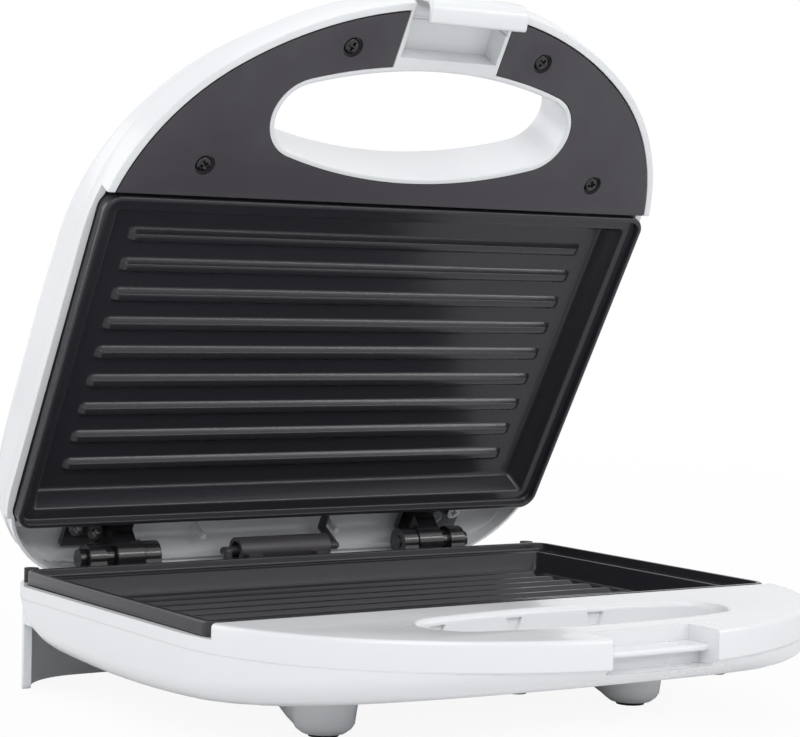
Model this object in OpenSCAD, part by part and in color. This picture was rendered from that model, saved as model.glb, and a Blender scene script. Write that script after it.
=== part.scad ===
// Sandwich toaster: two hinged shells, each holding a ribbed cooking plate.
// Lengths are millimetres. While a piece is drawn, Y = 0 is the hinge-side edge of the plates,
// -Y points to the handle and Z = 0 is the rim of the lower plate. Lid pieces are drawn with
// the lid closed. At the end the lid is swung open, and the whole is moved so that the origin
// lies on the table at the centre of the footprint.

/* [Cooking plates] */
// Width of a plate across its rim
plate_w = 230; // [205:1:250]
// Depth of a plate from the hinge side to the handle side
plate_d = 136; // [124:1:150]
// Corner radius of a plate's rim
plate_r = 6.5; // [5:0.5:12]
// Width of the lip round a plate
lip_w = 2; // [1.4:0.1:3]
// Depth of the ledge below the lip
ledge_depth = 3; // [2:0.5:4]
// Width of the ledge inside the lip
ledge_w = 4.6; // [3:0.1:7]
// Depth of the plate's floor below its lip
floor_depth = 11; // [9:0.5:13]
// Run of the slanted wall between the ledge and the floor
slope_run = 3; // [1:0.5:5]
// Thickness of the casting under the floor
plate_t = 2.2; // [1.6:0.1:3]
// Height of the rim block that shows beside the shells
rim_block_h = 6.5; // [5.5:0.5:8]
// Number of ribs on a plate
rib_count = 9; // [3:1:10]
// Distance between ribs
rib_pitch = 11.9; // [9:0.1:12]
// Height of a rib
rib_h = 2; // [1:0.1:3]
// Width of a rib's crest
rib_crest = 2.6; // [1:0.1:4]
// Width of a rib's foot
rib_foot = 5.8; // [4.5:0.1:8]
// Length of a rib at its foot
rib_len = 194; // [120:1:200]

/* [Shell outline] */
// Width of shell that shows beside a plate
rim_w = 3; // [2.6:0.1:5]
// Height between a plate's lip and the shell's side rim
rim_drop = 5; // [4:0.5:6]
// Height of the band below the side rim
band_h = 4.6; // [3:0.1:7]
// Depth of the handle deck in front of the plate
deck_d = 80.4; // [74:0.1:92]
// Radius of the two arcs that join the sides to the nose
cheek_r = 89.2; // [80:0.2:96]
// Radius of the nose arc
nose_r = 137.8; // [130:0.2:160]
// Gap between a plate's front edge and the deck
deck_gap = 1.5; // [1:0.1:3]
// Wall thickness of the mouldings
wall = 2.5; // [2:0.1:3]
// Clearance between mouldings and what sits in them
clear = 0.3; // [0.2:0.05:0.5]
// How far the bowls step in under their band
band_step = 1; // [0.5:0.1:2]
// Width of the rounding along the bowl's edge
edge_w = 10; // [6:0.5:14]
// Height of the rounding along the bowl's edge
edge_h = 8.6; // [6:0.2:9]

/* [Base] */
// Deepest point of the base below the plate's lip
base_deep = 29; // [28.8:0.1:32]
// Distance of that deepest point from the hinge side
belly_y = 75; // [66:1:84]
// Radius of the base's curved underside
belly_r = 660; // [640:5:760]
// Width of the rounding along the base's edge
base_edge_w = 14; // [10:0.5:15]
// Where the underside starts to rise to the hinge side
tail_y = 29; // [26:0.5:30]
// Radius of that rise
tail_r = 43; // [42:1:48]
// Height of the plate's lip above the table
stand_h = 42; // [40:0.5:50]
// How far the base reaches behind the plate
base_rear = 20; // [19:0.5:24]
// Radius of the base's rear corners
base_rear_r = 32; // [28:1:34]
// Thickness of the skirt behind the base
skirt_t = 3; // [2:0.1:3.6]
// Where the skirt's side edges start behind the plate's edge
skirt_y = -5; // [-12:1:0]
// Half width of the arch in the skirt
arch_half = 62; // [50:1:66]
// Height of the arch above the table
arch_h = 5; // [3:0.5:6]
// Distance of a front foot from the middle
foot_x = 64; // [55:1:72]
// Distance of a front foot behind the plate's front edge
foot_back = 15; // [13:1:24]
// Diameter of a foot where it leaves the base
foot_top_d = 23.5; // [21:0.5:26]
// Diameter of a foot at its bottom
foot_d = 19.5; // [17:0.5:20.5]
// Diameter of a rubber pad
pad_d = 10; // [8:0.1:11]
// How far a pad stands out of its foot
pad_out = 1.2; // [0.8:0.1:2.4]
// How far a foot runs back where it leaves the base
foot_tail = 42; // [30:1:48]

/* [Handle] */
// Half width of the opening in the base
grip_a = 59; // [50:0.5:62]
// Half depth of the opening in the base
grip_b = 18; // [15:0.5:20]
// Radius at the ends of the openings
grip_r = 13.5; // [10:0.5:14]
// Distance of the base's opening from the deck's rear edge
grip_from_deck = 33; // [31:0.5:34.5]
// Half width of the opening in the lid
lid_grip_a = 61; // [52:0.5:62]
// Half depth of the opening in the lid
lid_grip_b = 20.8; // [16:0.2:22]
// Distance of the lid's opening from the deck's rear edge
lid_grip_from_deck = 31.5; // [29.5:0.5:33.5]
// Wall round the openings
grip_wall = 2; // [1.6:0.1:2.4]

/* [Lid] */
// Angle between the lid and the base in the drawn pose
lid_open = 60; // [0:1:95]
// Height of the dome above the lid's plate rim
dome_h = 33; // [31:0.5:38]
// Distance of the dome's crown from the hinge side
dome_y = 61.4; // [55:0.2:70]
// Radius of the dome from front to back
dome_r = 238; // [215:1:320]
// How far the lid reaches behind the plate
lid_rear = 29; // [28:0.5:32]
// Radius of the lid's rear corners
lid_rear_r = 42; // [36:1:45]
// Radius of the rounding at the back of the dome
dome_back_r = 36; // [34:0.5:42]
// Distance from the plate's edge to that rounding's centre
dome_back_y = 8; // [5:0.5:10]
// Depth of that rounding's centre below the plate's rim
dome_back_z = 6; // [4:0.5:8]
// Height of the handle's top where it meets the dome
bar_back_h = 22; // [20:0.5:24]
// Height of the handle's top at the nose
bar_nose_h = 12.6; // [12:0.1:15]
// Thickness of the handle cover
cover_t = 2.2; // [1.8:0.1:3]
// White rim left outside the handle cover
cover_rim = 3; // [2.4:0.1:4]

/* [Hinge] */
// Distance of the hinge axis behind the plate's edge
hinge_y = 14.5; // [13.5:0.5:15.5]
// Height of the hinge axis above the lower plate's lip
hinge_z = 0.9; // [0.5:0.1:2]
// Gap between the two plates' lips when the lid is shut
closed_gap = 0.4; // [0.3:0.1:1]
// Radius of a hinge pin
pin_r = 2.5; // [2:0.1:2.8]
// Running clearance round a pin
pin_clear = 0.05; // [0.02:0.01:0.1]
// Radius of the lid bracket's barrel
barrel_r = 6; // [5:0.1:6.2]
// Radius of the base lugs round the pin
lug_r = 5.5; // [4.5:0.1:6]
// Where the inner base lug starts, from the middle
lug_in_x = 54.5; // [50:0.5:56]
// Where the lid's barrel starts, from the middle
barrel_x = 61.5; // [60:0.5:63]
// Length of the lid's barrel
barrel_len = 11; // [9:0.5:12]
// Where the outer base lug starts, from the middle
lug_out_x = 77; // [76:0.5:78]
// Thickness of the outer lug
lug_t = 6.6; // [4:0.2:7]
// Half width of the notch behind the hinge
notch_half = 97; // [94:0.5:98]
// Depth of that notch's floor below the lower plate's lip
notch_deep = 16; // [16:0.5:17]

/* [Latch] */
// Width of the latch
latch_w = 40; // [30:1:44]
// Clearance beside the latch
latch_side = 0.5; // [0.3:0.1:1]
// Distance of the latch's pin behind the nose
latch_pin_y = 5.9; // [5.5:0.1:7]
// Height of the latch's pin above the lid's plate rim
latch_pin_z = 5.2; // [4.8:0.1:5.4]
// Radius of the latch's pin
latch_pin_r = 1; // [0.8:0.1:1.2]
// Radius of the latch's barrel
latch_barrel_r = 3.2; // [2.6:0.1:3.4]
// Thickness of the latch's wall
latch_t = 2.2; // [1.8:0.1:2.6]
// Depth of the latch's hook below the lid's plate rim
latch_deep = 10; // [9.8:0.1:10.5]
// Length of the hook, front to back
hook_len = 8.8; // [7:0.2:9.6]
// Depth of the catch's ledge below the deck
catch_deep = 5; // [4:0.2:5.4]
// Thickness of the catch's ledge
catch_t = 2.1; // [1.8:0.1:2.2]
// How far the hook reaches under the catch
catch_grip = 2.6; // [1.5:0.1:3]
// Angle by which the latch stands open in the drawn pose
latch_open = 16; // [14:1:22]

/* [Heaters and wiring] */
// Diameter of the tubular heaters
heater_d = 6.5; // [5:0.1:6.6]
// Distance between a heater's two legs
heater_gap = 56; // [40:1:64]
// Distance between a plate's side and the ends of its heater's straight legs
heater_in = 45; // [38:1:64]
// Thickness of the reflectors
reflector_t = 0.5; // [0.4:0.1:0.8]
// Thickness of the clamp straps
strap_t = 0.7; // [0.5:0.1:1]
// Distance of the clamp straps from the middle
strap_x = 45; // [30:1:55]
// Half width of the wiring box under the base
box_half = 32; // [26:1:40]
// How far the wiring box reaches in front of the plate's rear edge
box_front = 45; // [38:1:50]
// Height of the wiring box above the table
box_clear = 6; // [5:0.5:8]
// Diameter of the cord that the gland takes
cord_d = 6; // [5:0.5:7]

/* [Fasteners] */
// Diameter of the cover screws' heads
cover_head_d = 5.8; // [5:0.1:6.5]
// Diameter of the holes that the cover screws sink in
cover_hole_d = 7.5; // [7:0.1:8.5]
// Diameter of the screws' shanks
shank_d = 2.9; // [2.4:0.1:3]
// Diameter of the screw bosses
boss_d = 7.4; // [6.6:0.1:8]

/* [Hidden] */
$fn = 96;
fine = 720;
far = 400;
eps = 0.02;

half_w = plate_w / 2 + rim_w;
nose_y = -(plate_d + deck_d);
deck_y = -(plate_d + deck_gap);
grip_y = grip_from_deck - deck_y;
lid_grip_y = lid_grip_from_deck - deck_y;
foot_y = plate_d - foot_back;
band_low = rim_drop + band_h;
cheek_x = half_w - cheek_r;
nose_cy = nose_y + nose_r;
cheek_cy = nose_cy - sqrt(pow(nose_r - cheek_r, 2) - pow(cheek_x, 2));
rim_in = rim_w - clear;
round_steps = 3;
belly_steps = 16;
tail_steps = 8;

// Insets and drops of the steps that round a bowl's edge
function step_in(k, w = edge_w) = band_step + w * (1 - cos(90 * k / round_steps));
function step_drop(k) = edge_h * (1 - sin(90 * k / round_steps));

// Height of the base's underside and of the dome's top at a place y
function belly_arc(y) = belly_r - base_deep - sqrt(pow(belly_r, 2) - pow(y + belly_y, 2));
function belly_z(y) = y < -tail_y ? belly_arc(y)
    : belly_arc(-tail_y) + tail_r - sqrt(pow(tail_r, 2) - pow(min(y + tail_y, tail_r), 2));
function dome_z(y) = dome_h - dome_r + sqrt(pow(dome_r, 2) - pow(y + dome_y, 2));
function bar_z(y) = bar_nose_h + (bar_back_h - bar_nose_h) * (y - nose_y) / (deck_y - nose_y);

tub_deep = floor_depth + plate_t;
tub_in = lip_w + ledge_w - plate_t;
tub_r = 8;
heater_r = heater_d / 2;
heater_deep = tub_deep + 0.1 + heater_r;
strap_deep = tub_deep + 0.2 + heater_d;
reflector_deep = strap_deep + strap_t;
heater_y = -plate_d / 2;
heater_len = plate_w - 2 * heater_in;
reflector_in = 24;
reflector_half = plate_d / 2 - reflector_in;
reflector_end = plate_w / 2 - 11;
reflector_lip = 4;
heater_x0 = -heater_len / 2 - 12;
strap_hole = heater_gap / 4;
strap_w = 10;
strap_len = heater_gap + 2 * heater_d;
post_r = 3.5;
thermo_r = 8;

tab_x = 66;
tab_w = 14;
tab_screw_y = deck_y - wall - 3.3;
tab_len = plate_d * -1 - tab_screw_y + 3.7;
tab_t = 2.5;
rear_tab_x = 62;
rear_tab_w = 14;
rear_tab_t = 1.6;
rear_rib_y = 1;
rear_rib_t = 2.5;
rear_rib_top = 6.8;
rear_tab_low = 11;

shank_r = shank_d / 2;
shank_hole_r = shank_r + 0.05;
boss_r = boss_d / 2;
cover_head_h = 1.2;
cover_spots = [for (s = [-1, 1], p = [[40, 19.9], [82.7, 67.2]]) [s * p[0], nose_y + p[1]]];
base_spots = [for (s = [-1, 1], p = [[40, 24], [82.7, 67.2]]) [s * p[0], nose_y + p[1]]];

hinge_gap = 0.4;
pin_hole_r = pin_r + pin_clear;
lug_in_t = barrel_x - hinge_gap - lug_in_x;
pin_start_x = lug_in_x - 0.5;
pin_end_x = lug_out_x + lug_t + 0.4;
pin_head_r = pin_r + 0.8;
pin_head_t = 2.4;
bracket_foot_t = 2.5;
bracket_front = hinge_y - lug_r - 3;
bracket_back = hinge_y - 1;
arm_x = barrel_x + 2;
arm_top = 13.5;
arm_plate_t = 2.5;
arm_plate_front = 4;
arm_plate_back = hinge_y + 2;
arm_spots = [[lug_out_x - 0.5, 10], [lug_out_x + 7.5, 8]];
arm_plate_out = arm_spots[1][0] + 4;
foot_screw_x = (barrel_x + lug_out_x) / 2;

latch_cy = nose_y + latch_pin_y;
bay_half = latch_w / 2 + latch_side;
bay_wall = 1.2;
bay_bar_y = -lid_grip_y - lid_grip_b - grip_wall - 2.6;
bay_roof = latch_pin_z + latch_barrel_r + 1.9;
bay_slot_y = latch_cy + latch_barrel_r + 1.6;
hook_back_y = nose_y + hook_len;
catch_nose_y = hook_back_y - catch_grip;
catch_low = latch_deep - closed_gap + 1.8;

box_low = stand_h - box_clear;
box_rear = base_rear - band_step - skirt_t;
gland_r = cord_d / 2 + 1.8;
gland_deep = box_low - 9;
wrap_x = 46;
wrap_out = 15;
wrap_r = 5;
wrap_deep = 25;

box_screw_len = 7;
arm_screw_len = 6.5;
holder_half = 6;
stop_in = 8;
stop_x = half_w - stop_in;
stop_r = 2.6;
stop_h = 5;
stop_y = 3;

lens_r = 4;
lens_x = 11;
lens_y = deck_y + 15.5;
lamp_z = dome_z(lens_y) - wall - 3.4;
lamp_post_x = lens_x + 8.5;
sleeve_r = 5;
sleeve_half = box_half - 12;
wire_r = 1.6;
wire_x = sleeve_half + 5;
wire_y = hinge_y - 3;
wire_z = 16;
block_z = box_low - cover_t - 4;
block_half = 13;
block_front = -30;
block_back = -18;
block_h = 9;
cover_screw_len = 8;
box_screw_in = 6;
box_screw_y = -box_front + 7;
small_head_r = 2.8;
small_head_h = 1.6;

front_reach = nose_cy - sqrt(pow(nose_r, 2) - pow(bay_half + 0.5, 2));
back_shift = -(front_reach + base_rear - band_step + wrap_out) / 2;

// ---- placement ----

module on_base() {
    translate([0, back_shift, stand_h]) children();
}

module on_lid() {
    on_base() translate([0, hinge_y, hinge_z]) rotate([-lid_open, 0, 0])
        translate([0, -hinge_y, closed_gap - hinge_z]) children();
}

module on_latch() {
    on_lid() translate([0, latch_cy, latch_pin_z]) rotate([latch_open * -1, 0, 0]) children();
}

module both_sides() {
    children();
    mirror([1, 0, 0]) children();
}

module along_x(x0, len) {
    translate([x0, 0, 0]) rotate([90, 0, 90]) linear_extrude(len) children();
}

module slab(x0, x1, y0, y1, z0, z1) {
    translate([x0, y0, z0]) cube([x1 - x0, y1 - y0, z1 - z0]);
}

module post(x, y, r, z0, z1) {
    translate([x, y, z0]) cylinder(r = r, h = z1 - z0);
}

module bar_x(r, x0, x1, y, z) {
    translate([x0, y, z]) rotate([0, 90, 0]) cylinder(r = r, h = x1 - x0);
}

// ---- outlines ----

module round_rect(w, d, r) {
    translate([-w / 2 + r, -d]) square([w - 2 * r, d]);
    translate([-w / 2, -d + r]) square([w, d - 2 * r]);
    for (x = [-w / 2 + r, w / 2 - r], y = [-d + r, -r]) translate([x, y]) circle(r);
}

// Plate outline pulled in by a margin
module plate_outline(inset) {
    translate([0, -inset]) round_rect(plate_w - 2 * inset, plate_d - 2 * inset,
        max(plate_r - inset, 1.5));
}

// Points of an arc, without its last one
function arc(cx, cy, r, a0, a1, n) = [for (i = [0:n - 1]) let (a = a0 + (a1 - a0) * i / n)
    [cx + r * cos(a), cy + r * sin(a)]];
function mirrored(points, skip = 1) = [for (i = [len(points) - skip:-1:1]) [-points[i].x, points[i].y]];

// Shell outline: straight sides, two cheeks and a nose, all tangent, with round rear corners
module shell_outline(inset, rear, rear_r) {
    joint_a = atan2(cheek_cy - nose_cy, cheek_x);
    half = concat(arc(0, nose_cy, nose_r - inset, -90, joint_a, 14),
        arc(cheek_x, cheek_cy, cheek_r - inset, joint_a, 0, 12),
        arc(half_w - rear_r, rear - rear_r, rear_r - inset, 0, 90, 10),
        [[half_w - rear_r, rear - inset]]);
    polygon(concat(half, mirrored(half)));
}

module base_outline(inset) {
    shell_outline(inset, base_rear, base_rear_r);
}

module lid_outline(inset) {
    shell_outline(inset, lid_rear, lid_rear_r);
}

// Oval of four tangent arcs
module oval(a, b, r) {
    big = (pow(a - r, 2) + b * b - r * r) / (2 * (b - r));
    joint_a = atan2(big - b, a - r);
    half = concat(arc(0, big - b, big, -90, -joint_a, 10), arc(a - r, 0, r, -joint_a, joint_a, 16),
        arc(0, b - big, big, joint_a, 90, 10), [[0, b]]);
    polygon(concat(half, mirrored(half, 2)));
}

module base_grip(grow, z0, z1) {
    translate([0, -grip_y, z0]) linear_extrude(z1 - z0) oval(grip_a + grow, grip_b + grow, grip_r + grow);
}

module lid_grip(grow, z0, z1) {
    translate([0, -lid_grip_y, z0]) linear_extrude(z1 - z0)
        oval(lid_grip_a + grow, lid_grip_b + grow, grip_r + grow);
}

// ---- bowls ----

// Space above the base's curved underside, raised by some millimetres
module above_belly(rise) {
    front = nose_y - 9;
    ys = [for (i = [0:belly_steps]) front - (tail_y + front) * i / belly_steps,
        for (i = [1:tail_steps]) -tail_y + tail_r * sin(80 * i / tail_steps)];
    along_x(-half_w - 8, 2 * half_w + 16) polygon([for (y = ys) [y, belly_z(y) + rise],
        [ys[len(ys) - 1], far], [front, far]]);
}

// Space below the dome: a long arc over the plate and a tighter one at the back
module dome_side(drop, facets) {
    intersection() {
        translate([-dome_y, dome_h - dome_r]) circle(r = dome_r - drop, $fn = facets);
        union() {
            translate([-dome_back_y, -dome_back_z]) circle(r = dome_back_r - drop, $fn = facets);
            translate([-far, -far]) square([far - dome_back_y, 2 * far]);
        }
    }
}

module bar_side(drop) {
    polygon([[nose_y - 5, 0], [deck_y + 20, 0], [deck_y + 20, bar_z(deck_y + 20) - drop],
        [nose_y - 5, bar_z(nose_y - 5) - drop]]);
}

module base_bowl() {
    hull() for (k = [0:round_steps]) intersection() {
        translate([0, 0, -base_deep - 1]) linear_extrude(base_deep + 1 - band_low + eps)
            base_outline(step_in(k, base_edge_w));
        above_belly(step_drop(k));
    }
}

module base_bowl_room() {
    for (k = [0:round_steps]) intersection() {
        translate([0, 0, -base_deep - 1]) linear_extrude(base_deep + 1 - band_low + eps)
            base_outline(step_in(k, base_edge_w) + wall);
        above_belly(step_drop(k) + wall);
    }
}

module lid_dome() {
    hull() for (k = [0:round_steps]) intersection() {
        translate([0, 0, rim_drop + band_h - eps]) linear_extrude(dome_h)
            intersection() {
                lid_outline(step_in(k));
                translate([-far, deck_y - 2]) square(2 * far);
            }
        along_x(-far / 2, far) dome_side(step_drop(k), 160);
    }
}

module lid_bar() {
    hull() for (k = [0:round_steps]) intersection() {
        translate([0, 0, rim_drop + band_h - eps]) linear_extrude(dome_h)
            lid_outline(step_in(k));
        along_x(-far / 2, far) bar_side(step_drop(k) * 0.6);
    }
}

module lid_room() {
    for (k = [0:round_steps]) {
        intersection() {
            translate([0, 0, band_low - 0.1]) linear_extrude(dome_h) lid_outline(step_in(k) + wall);
            along_x(-far / 2, far) {
                intersection() {
                    dome_side(step_drop(k) + wall, fine);
                    translate([deck_y + 3, -1]) square(far);
                }
                bar_side(step_drop(k) * 0.6 + wall);
            }
        }
    }
}

// ---- base body ----

module base_outer() {
    translate([0, 0, -band_low]) linear_extrude(band_h) base_outline(0);
    intersection() {
        translate([0, 0, -band_low]) linear_extrude(band_low) base_outline(0);
        slab(-far, far, nose_y - 1, deck_y, -far, far);
    }
    base_bowl();
    // floor of the hinge notch, joined to the skirt
    intersection() {
        translate([0, 0, -notch_deep - wall]) linear_extrude(notch_deep + wall - band_low + eps)
            base_outline(band_step);
        slab(-notch_half - 3, notch_half + 3, -14, far, -far, far);
    }
    skirt();
    wiring_box();
    both_sides() foot();
    both_sides() bar_y_wrap();
}

module skirt() {
    difference() {
        intersection() {
            translate([0, 0, -stand_h]) linear_extrude(stand_h - band_low) difference() {
                base_outline(band_step);
                base_outline(band_step + skirt_t);
            }
            slab(-far, far, skirt_y, far, -far, far);
        }
        slab(-arch_half, arch_half, 0, far, -stand_h - 1, -stand_h + arch_h);
    }
}

module wiring_box() {
    slab(-box_half, box_half, -box_front, base_rear - band_step - 0.5, -box_low, -band_low - 8);
}

module wiring_room() {
    slab(-box_half + wall, box_half - wall, -box_front + wall, box_rear,
        -box_low - 1, -notch_deep - wall);
    slab(-box_half + wall, box_half - wall, -box_front + wall, rear_rib_y,
        -box_low - 1, -band_low - 8);
}

// Cord-winding post on the back of the skirt
module bar_y_wrap() {
    translate([wrap_x, base_rear - band_step - 1, -wrap_deep]) rotate([-90, 0, 0]) {
        cylinder(r = wrap_r, h = wrap_out + 1);
        translate([0, 0, wrap_out - 1.5]) cylinder(r = wrap_r + 2.5, h = 2.5);
    }
}

// Foot that narrows downwards and runs back into the underside
module foot() {
    foot_low = stand_h - pad_out;
    heel_r = foot_d * 0.3;
    heel_y = -foot_y + foot_tail - heel_r;
    hull() {
        translate([foot_x, -foot_y, -foot_low + 1.5]) cylinder(r1 = foot_d / 2,
            r2 = foot_top_d / 2, h = foot_low + belly_z(-foot_y), $fn = 48);
        translate([foot_x, -foot_y, -foot_low]) cylinder(r = foot_d / 2 - 1.5, h = 1, $fn = 48);
        translate([foot_x, -foot_y + foot_d * 0.4, -foot_low + 1])
            cylinder(r = heel_r, h = 1, $fn = 32);
        translate([foot_x, heel_y, belly_z(heel_y) + 0.5]) cylinder(r = heel_r, h = 1, $fn = 32);
    }
}

// Hollow of the base before its ribs and bosses are left standing
module base_room() {
    // room for the plate's rim
    intersection() {
        translate([0, 0, -band_low - eps]) linear_extrude(band_low + 2) base_outline(rim_in);
        slab(-far, far, -plate_d - clear, rear_rib_y, -far, far);
    }
    translate([0, 0, -rim_block_h - clear]) linear_extrude(rim_block_h + 2) plate_outline(-clear);
    // room under the deck
    intersection() {
        translate([0, 0, -band_low - eps]) linear_extrude(band_low - wall) base_outline(rim_in);
        slab(-far, far, nose_y - 1, -plate_d, -far, far);
    }
    intersection() {
        base_bowl_room();
        slab(-far, far, nose_y - 1, rear_rib_y, -far, far);
    }
}

module base_keeps() {
    // wall between the plate and the handle
    slab(-far, far, deck_y - wall, -plate_d - clear, -far, 0);
    base_grip(grip_wall, -far, 0);
    // block for the latch's catch
    slab(-bay_half - 4, bay_half + 4, nose_y - 1, -grip_y - grip_b - grip_wall - 2, -catch_low - 2, 0);
    for (p = base_spots) post(p[0], p[1], boss_r, -far, 0);
    both_sides() post(tab_x, tab_screw_y, boss_r, -rim_block_h + tab_t, 0);
    // seats under the sides of the plate's rim
    both_sides() for (f = [0.2, 0.5, 0.8])
        slab(plate_w / 2 - 3.5, half_w, -plate_d * f - 6, -plate_d * f + 6, -tub_deep, -rim_block_h);
}

// Region of the underside that the base's handle cover closes
module base_cover_region(margin) {
    difference() {
        intersection() {
            translate([0, 0, -base_deep - 1]) linear_extrude(base_deep - 6)
                base_outline(band_step + edge_w + 1 + margin);
            slab(-far, far, nose_y - 1, deck_y - wall - 3 - margin, -far, far);
            above_belly(-1.7);
        }
        base_grip(grip_wall + margin, -far, 0);
        above_belly(wall);
    }
}

// Notch for the latch: ledge, open front and groove under the ledge
module catch_notch() {
    slab(-bay_half - 0.5, bay_half + 0.5, nose_y - 1, bay_slot_y + 4, -catch_deep, 1);
    slab(-bay_half - 0.5, bay_half + 0.5, nose_y - 1, catch_nose_y + catch_t / 2, -catch_low, 1);
    slab(-bay_half - 0.5, bay_half + 0.5, nose_y - 1, hook_back_y + 2, -catch_low,
        -catch_deep - catch_t);
}

module base_shell() color([0.93, 0.93, 0.94]) on_base() {
    difference() {
        base_outer();
        difference() {
            base_room();
            base_keeps();
        }
        wiring_room_cut();
        base_cover_region(0);
        // hinge notch behind the plate
        slab(-notch_half, notch_half, rear_rib_y + rear_rib_t, far, -notch_deep, 1);
        slab(-notch_half, notch_half, 0, rear_rib_y + rear_rib_t + 1, -rear_rib_top, 1);
        base_grip(0, -far, 1);
        catch_notch();
        both_sides() slab(rear_tab_x - rear_tab_w / 2 - clear, rear_tab_x + rear_tab_w / 2 + clear,
            0, rear_rib_y + rear_rib_t + 1, -rear_tab_low - clear, -rear_tab_low + rear_tab_t + clear);
        // slots for the plate's front tabs
        both_sides() slab(tab_x - tab_w / 2 - clear, tab_x + tab_w / 2 + clear, deck_y - wall - 1, -plate_d,
            -rim_block_h - clear, -rim_block_h + tab_t);
        both_sides() post(foot_x, -foot_y, pad_d / 2 + 0.05, -stand_h - 1, -stand_h + pad_out + 1.5);
        for (p = base_spots) post(p[0], p[1], shank_hole_r, belly_z(p[1]) - 1, -wall - 1.5);
        both_sides() post(tab_x, tab_screw_y, shank_hole_r, -rim_block_h, -wall + 0.8);
        for (s = [-1, 1]) post(s * (box_half - box_screw_in), box_screw_y, shank_hole_r,
            -box_low, -box_low + 9);
        both_sides() post(foot_screw_x, bracket_front + 3.4, shank_hole_r, -notch_deep - 4, -notch_deep + 1);
        both_sides() post(stop_x, stop_y, stop_r - 1.2 + 0.05, -rim_drop - 2.5, 1);
        post(-wire_x, wire_y, wire_r + 0.5, -notch_deep - wall - 1, 0);
        translate([0, box_rear - 1, -gland_deep]) rotate([-90, 0, 0]) cylinder(r = gland_r + 0.05, h = 9);
    }
    // rounded nose of the catch's ledge
    bar_x(catch_t / 2, -bay_half - 0.5, bay_half + 0.5, catch_nose_y + catch_t / 2, -catch_deep - catch_t / 2);
}

module wiring_room_cut() {
    difference() {
        wiring_room();
        both_sides() slab(box_half - wall - 7, box_half, -box_front, -box_front + 11,
            -box_low + cover_t, 0);
    }
}

module base_handle_cover() color([0.9, 0.9, 0.91]) on_base() difference() {
    intersection() {
        base_cover_region(clear);
        above_belly(0);
    }
    for (p = base_spots) {
        post(p[0], p[1], shank_hole_r + 0.2, -far, 0);
        post(p[0], p[1], cover_hole_d / 2, -far, belly_z(p[1]) + cover_head_h + 0.1);
    }
}

// Round-head screw along Z: head from z to z + up * head_h, shank beyond it
module screw(x, y, z, up, head_r, head_h, shank_len) {
    z0 = up > 0 ? z : z - head_h;
    difference() {
        union() {
            post(x, y, head_r, z0, z0 + head_h);
            z1 = up > 0 ? z0 + head_h : z0 - shank_len;
            post(x, y, shank_r, z1, z1 + shank_len);
        }
        zc = up > 0 ? z0 - 1 : z0 + head_h * 0.4;
        for (a = [0, 90]) translate([x, y, zc]) rotate([0, 0, a])
            translate([-head_r * 0.55, -0.45, 0]) cube([head_r * 1.1, 0.9, head_h * 0.6 + 1]);
    }
}

module base_cover_screws() color([0.16, 0.16, 0.17]) on_base()
    for (p = base_spots)
        screw(p[0], p[1], belly_z(p[1]) + 0.1, 1, cover_head_d / 2, cover_head_h, cover_screw_len);

module wiring_cover() color([0.88, 0.88, 0.9]) on_base() difference() {
    slab(-box_half + wall + clear, box_half - wall - clear, -box_front + wall + clear,
        box_rear - clear, -box_low, -box_low + cover_t);
    for (s = [-1, 1]) {
        post(s * (box_half - box_screw_in), box_screw_y, shank_hole_r + 0.2, -far, 0);
        post(s * (box_half - box_screw_in), box_screw_y, cover_head_d / 2 + 0.3, -far, -box_low + cover_head_h);
    }
}

module wiring_cover_screws() color([0.7, 0.7, 0.72]) on_base() for (s = [-1, 1])
    screw(s * (box_half - box_screw_in), box_screw_y, -box_low, 1, cover_head_d / 2, cover_head_h, box_screw_len);

module rubber_feet() color([0.1, 0.1, 0.1]) on_base() both_sides()
    post(foot_x, -foot_y, pad_d / 2, -stand_h, -stand_h + pad_out + 1.5);

// Buffers on the rear corners of the base
module rear_stops() color([0.1, 0.1, 0.1]) on_base() both_sides() {
    post(stop_x, stop_y, stop_r, -rim_drop, -rim_drop + stop_h);
    post(stop_x, stop_y, stop_r - 1.2, -rim_drop - 2.4, -rim_drop);
}

module cord_gland() color([0.12, 0.12, 0.12]) on_base()
    translate([0, box_rear, -gland_deep]) rotate([-90, 0, 0]) difference() {
        union() {
            cylinder(r = gland_r, h = skirt_t + 5.5);
            translate([0, 0, -1.5]) cylinder(r = gland_r + 1.6, h = 1.5);
            translate([0, 0, skirt_t]) cylinder(r = gland_r + 1.6, h = 1.5);
        }
        translate([0, 0, -2]) cylinder(r = cord_d / 2, h = skirt_t + 9);
    }

// Three-pole terminal block on the wiring box's cover
module terminal_block() color([0.85, 0.83, 0.76]) on_base() difference() {
    slab(-block_half, block_half, block_front, block_back, -box_low + cover_t, -box_low + cover_t + block_h);
    for (x = [-8, 0, 8]) {
        translate([x, block_front - 1, -block_z]) rotate([-90, 0, 0])
            cylinder(r = wire_r + 0.2, h = block_back - block_front + 2);
        for (y = [block_front + 3, block_back - 3]) post(x, y, 1.6, -block_z + 1, 0);
    }
}

// ---- cooking plates ----

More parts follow.
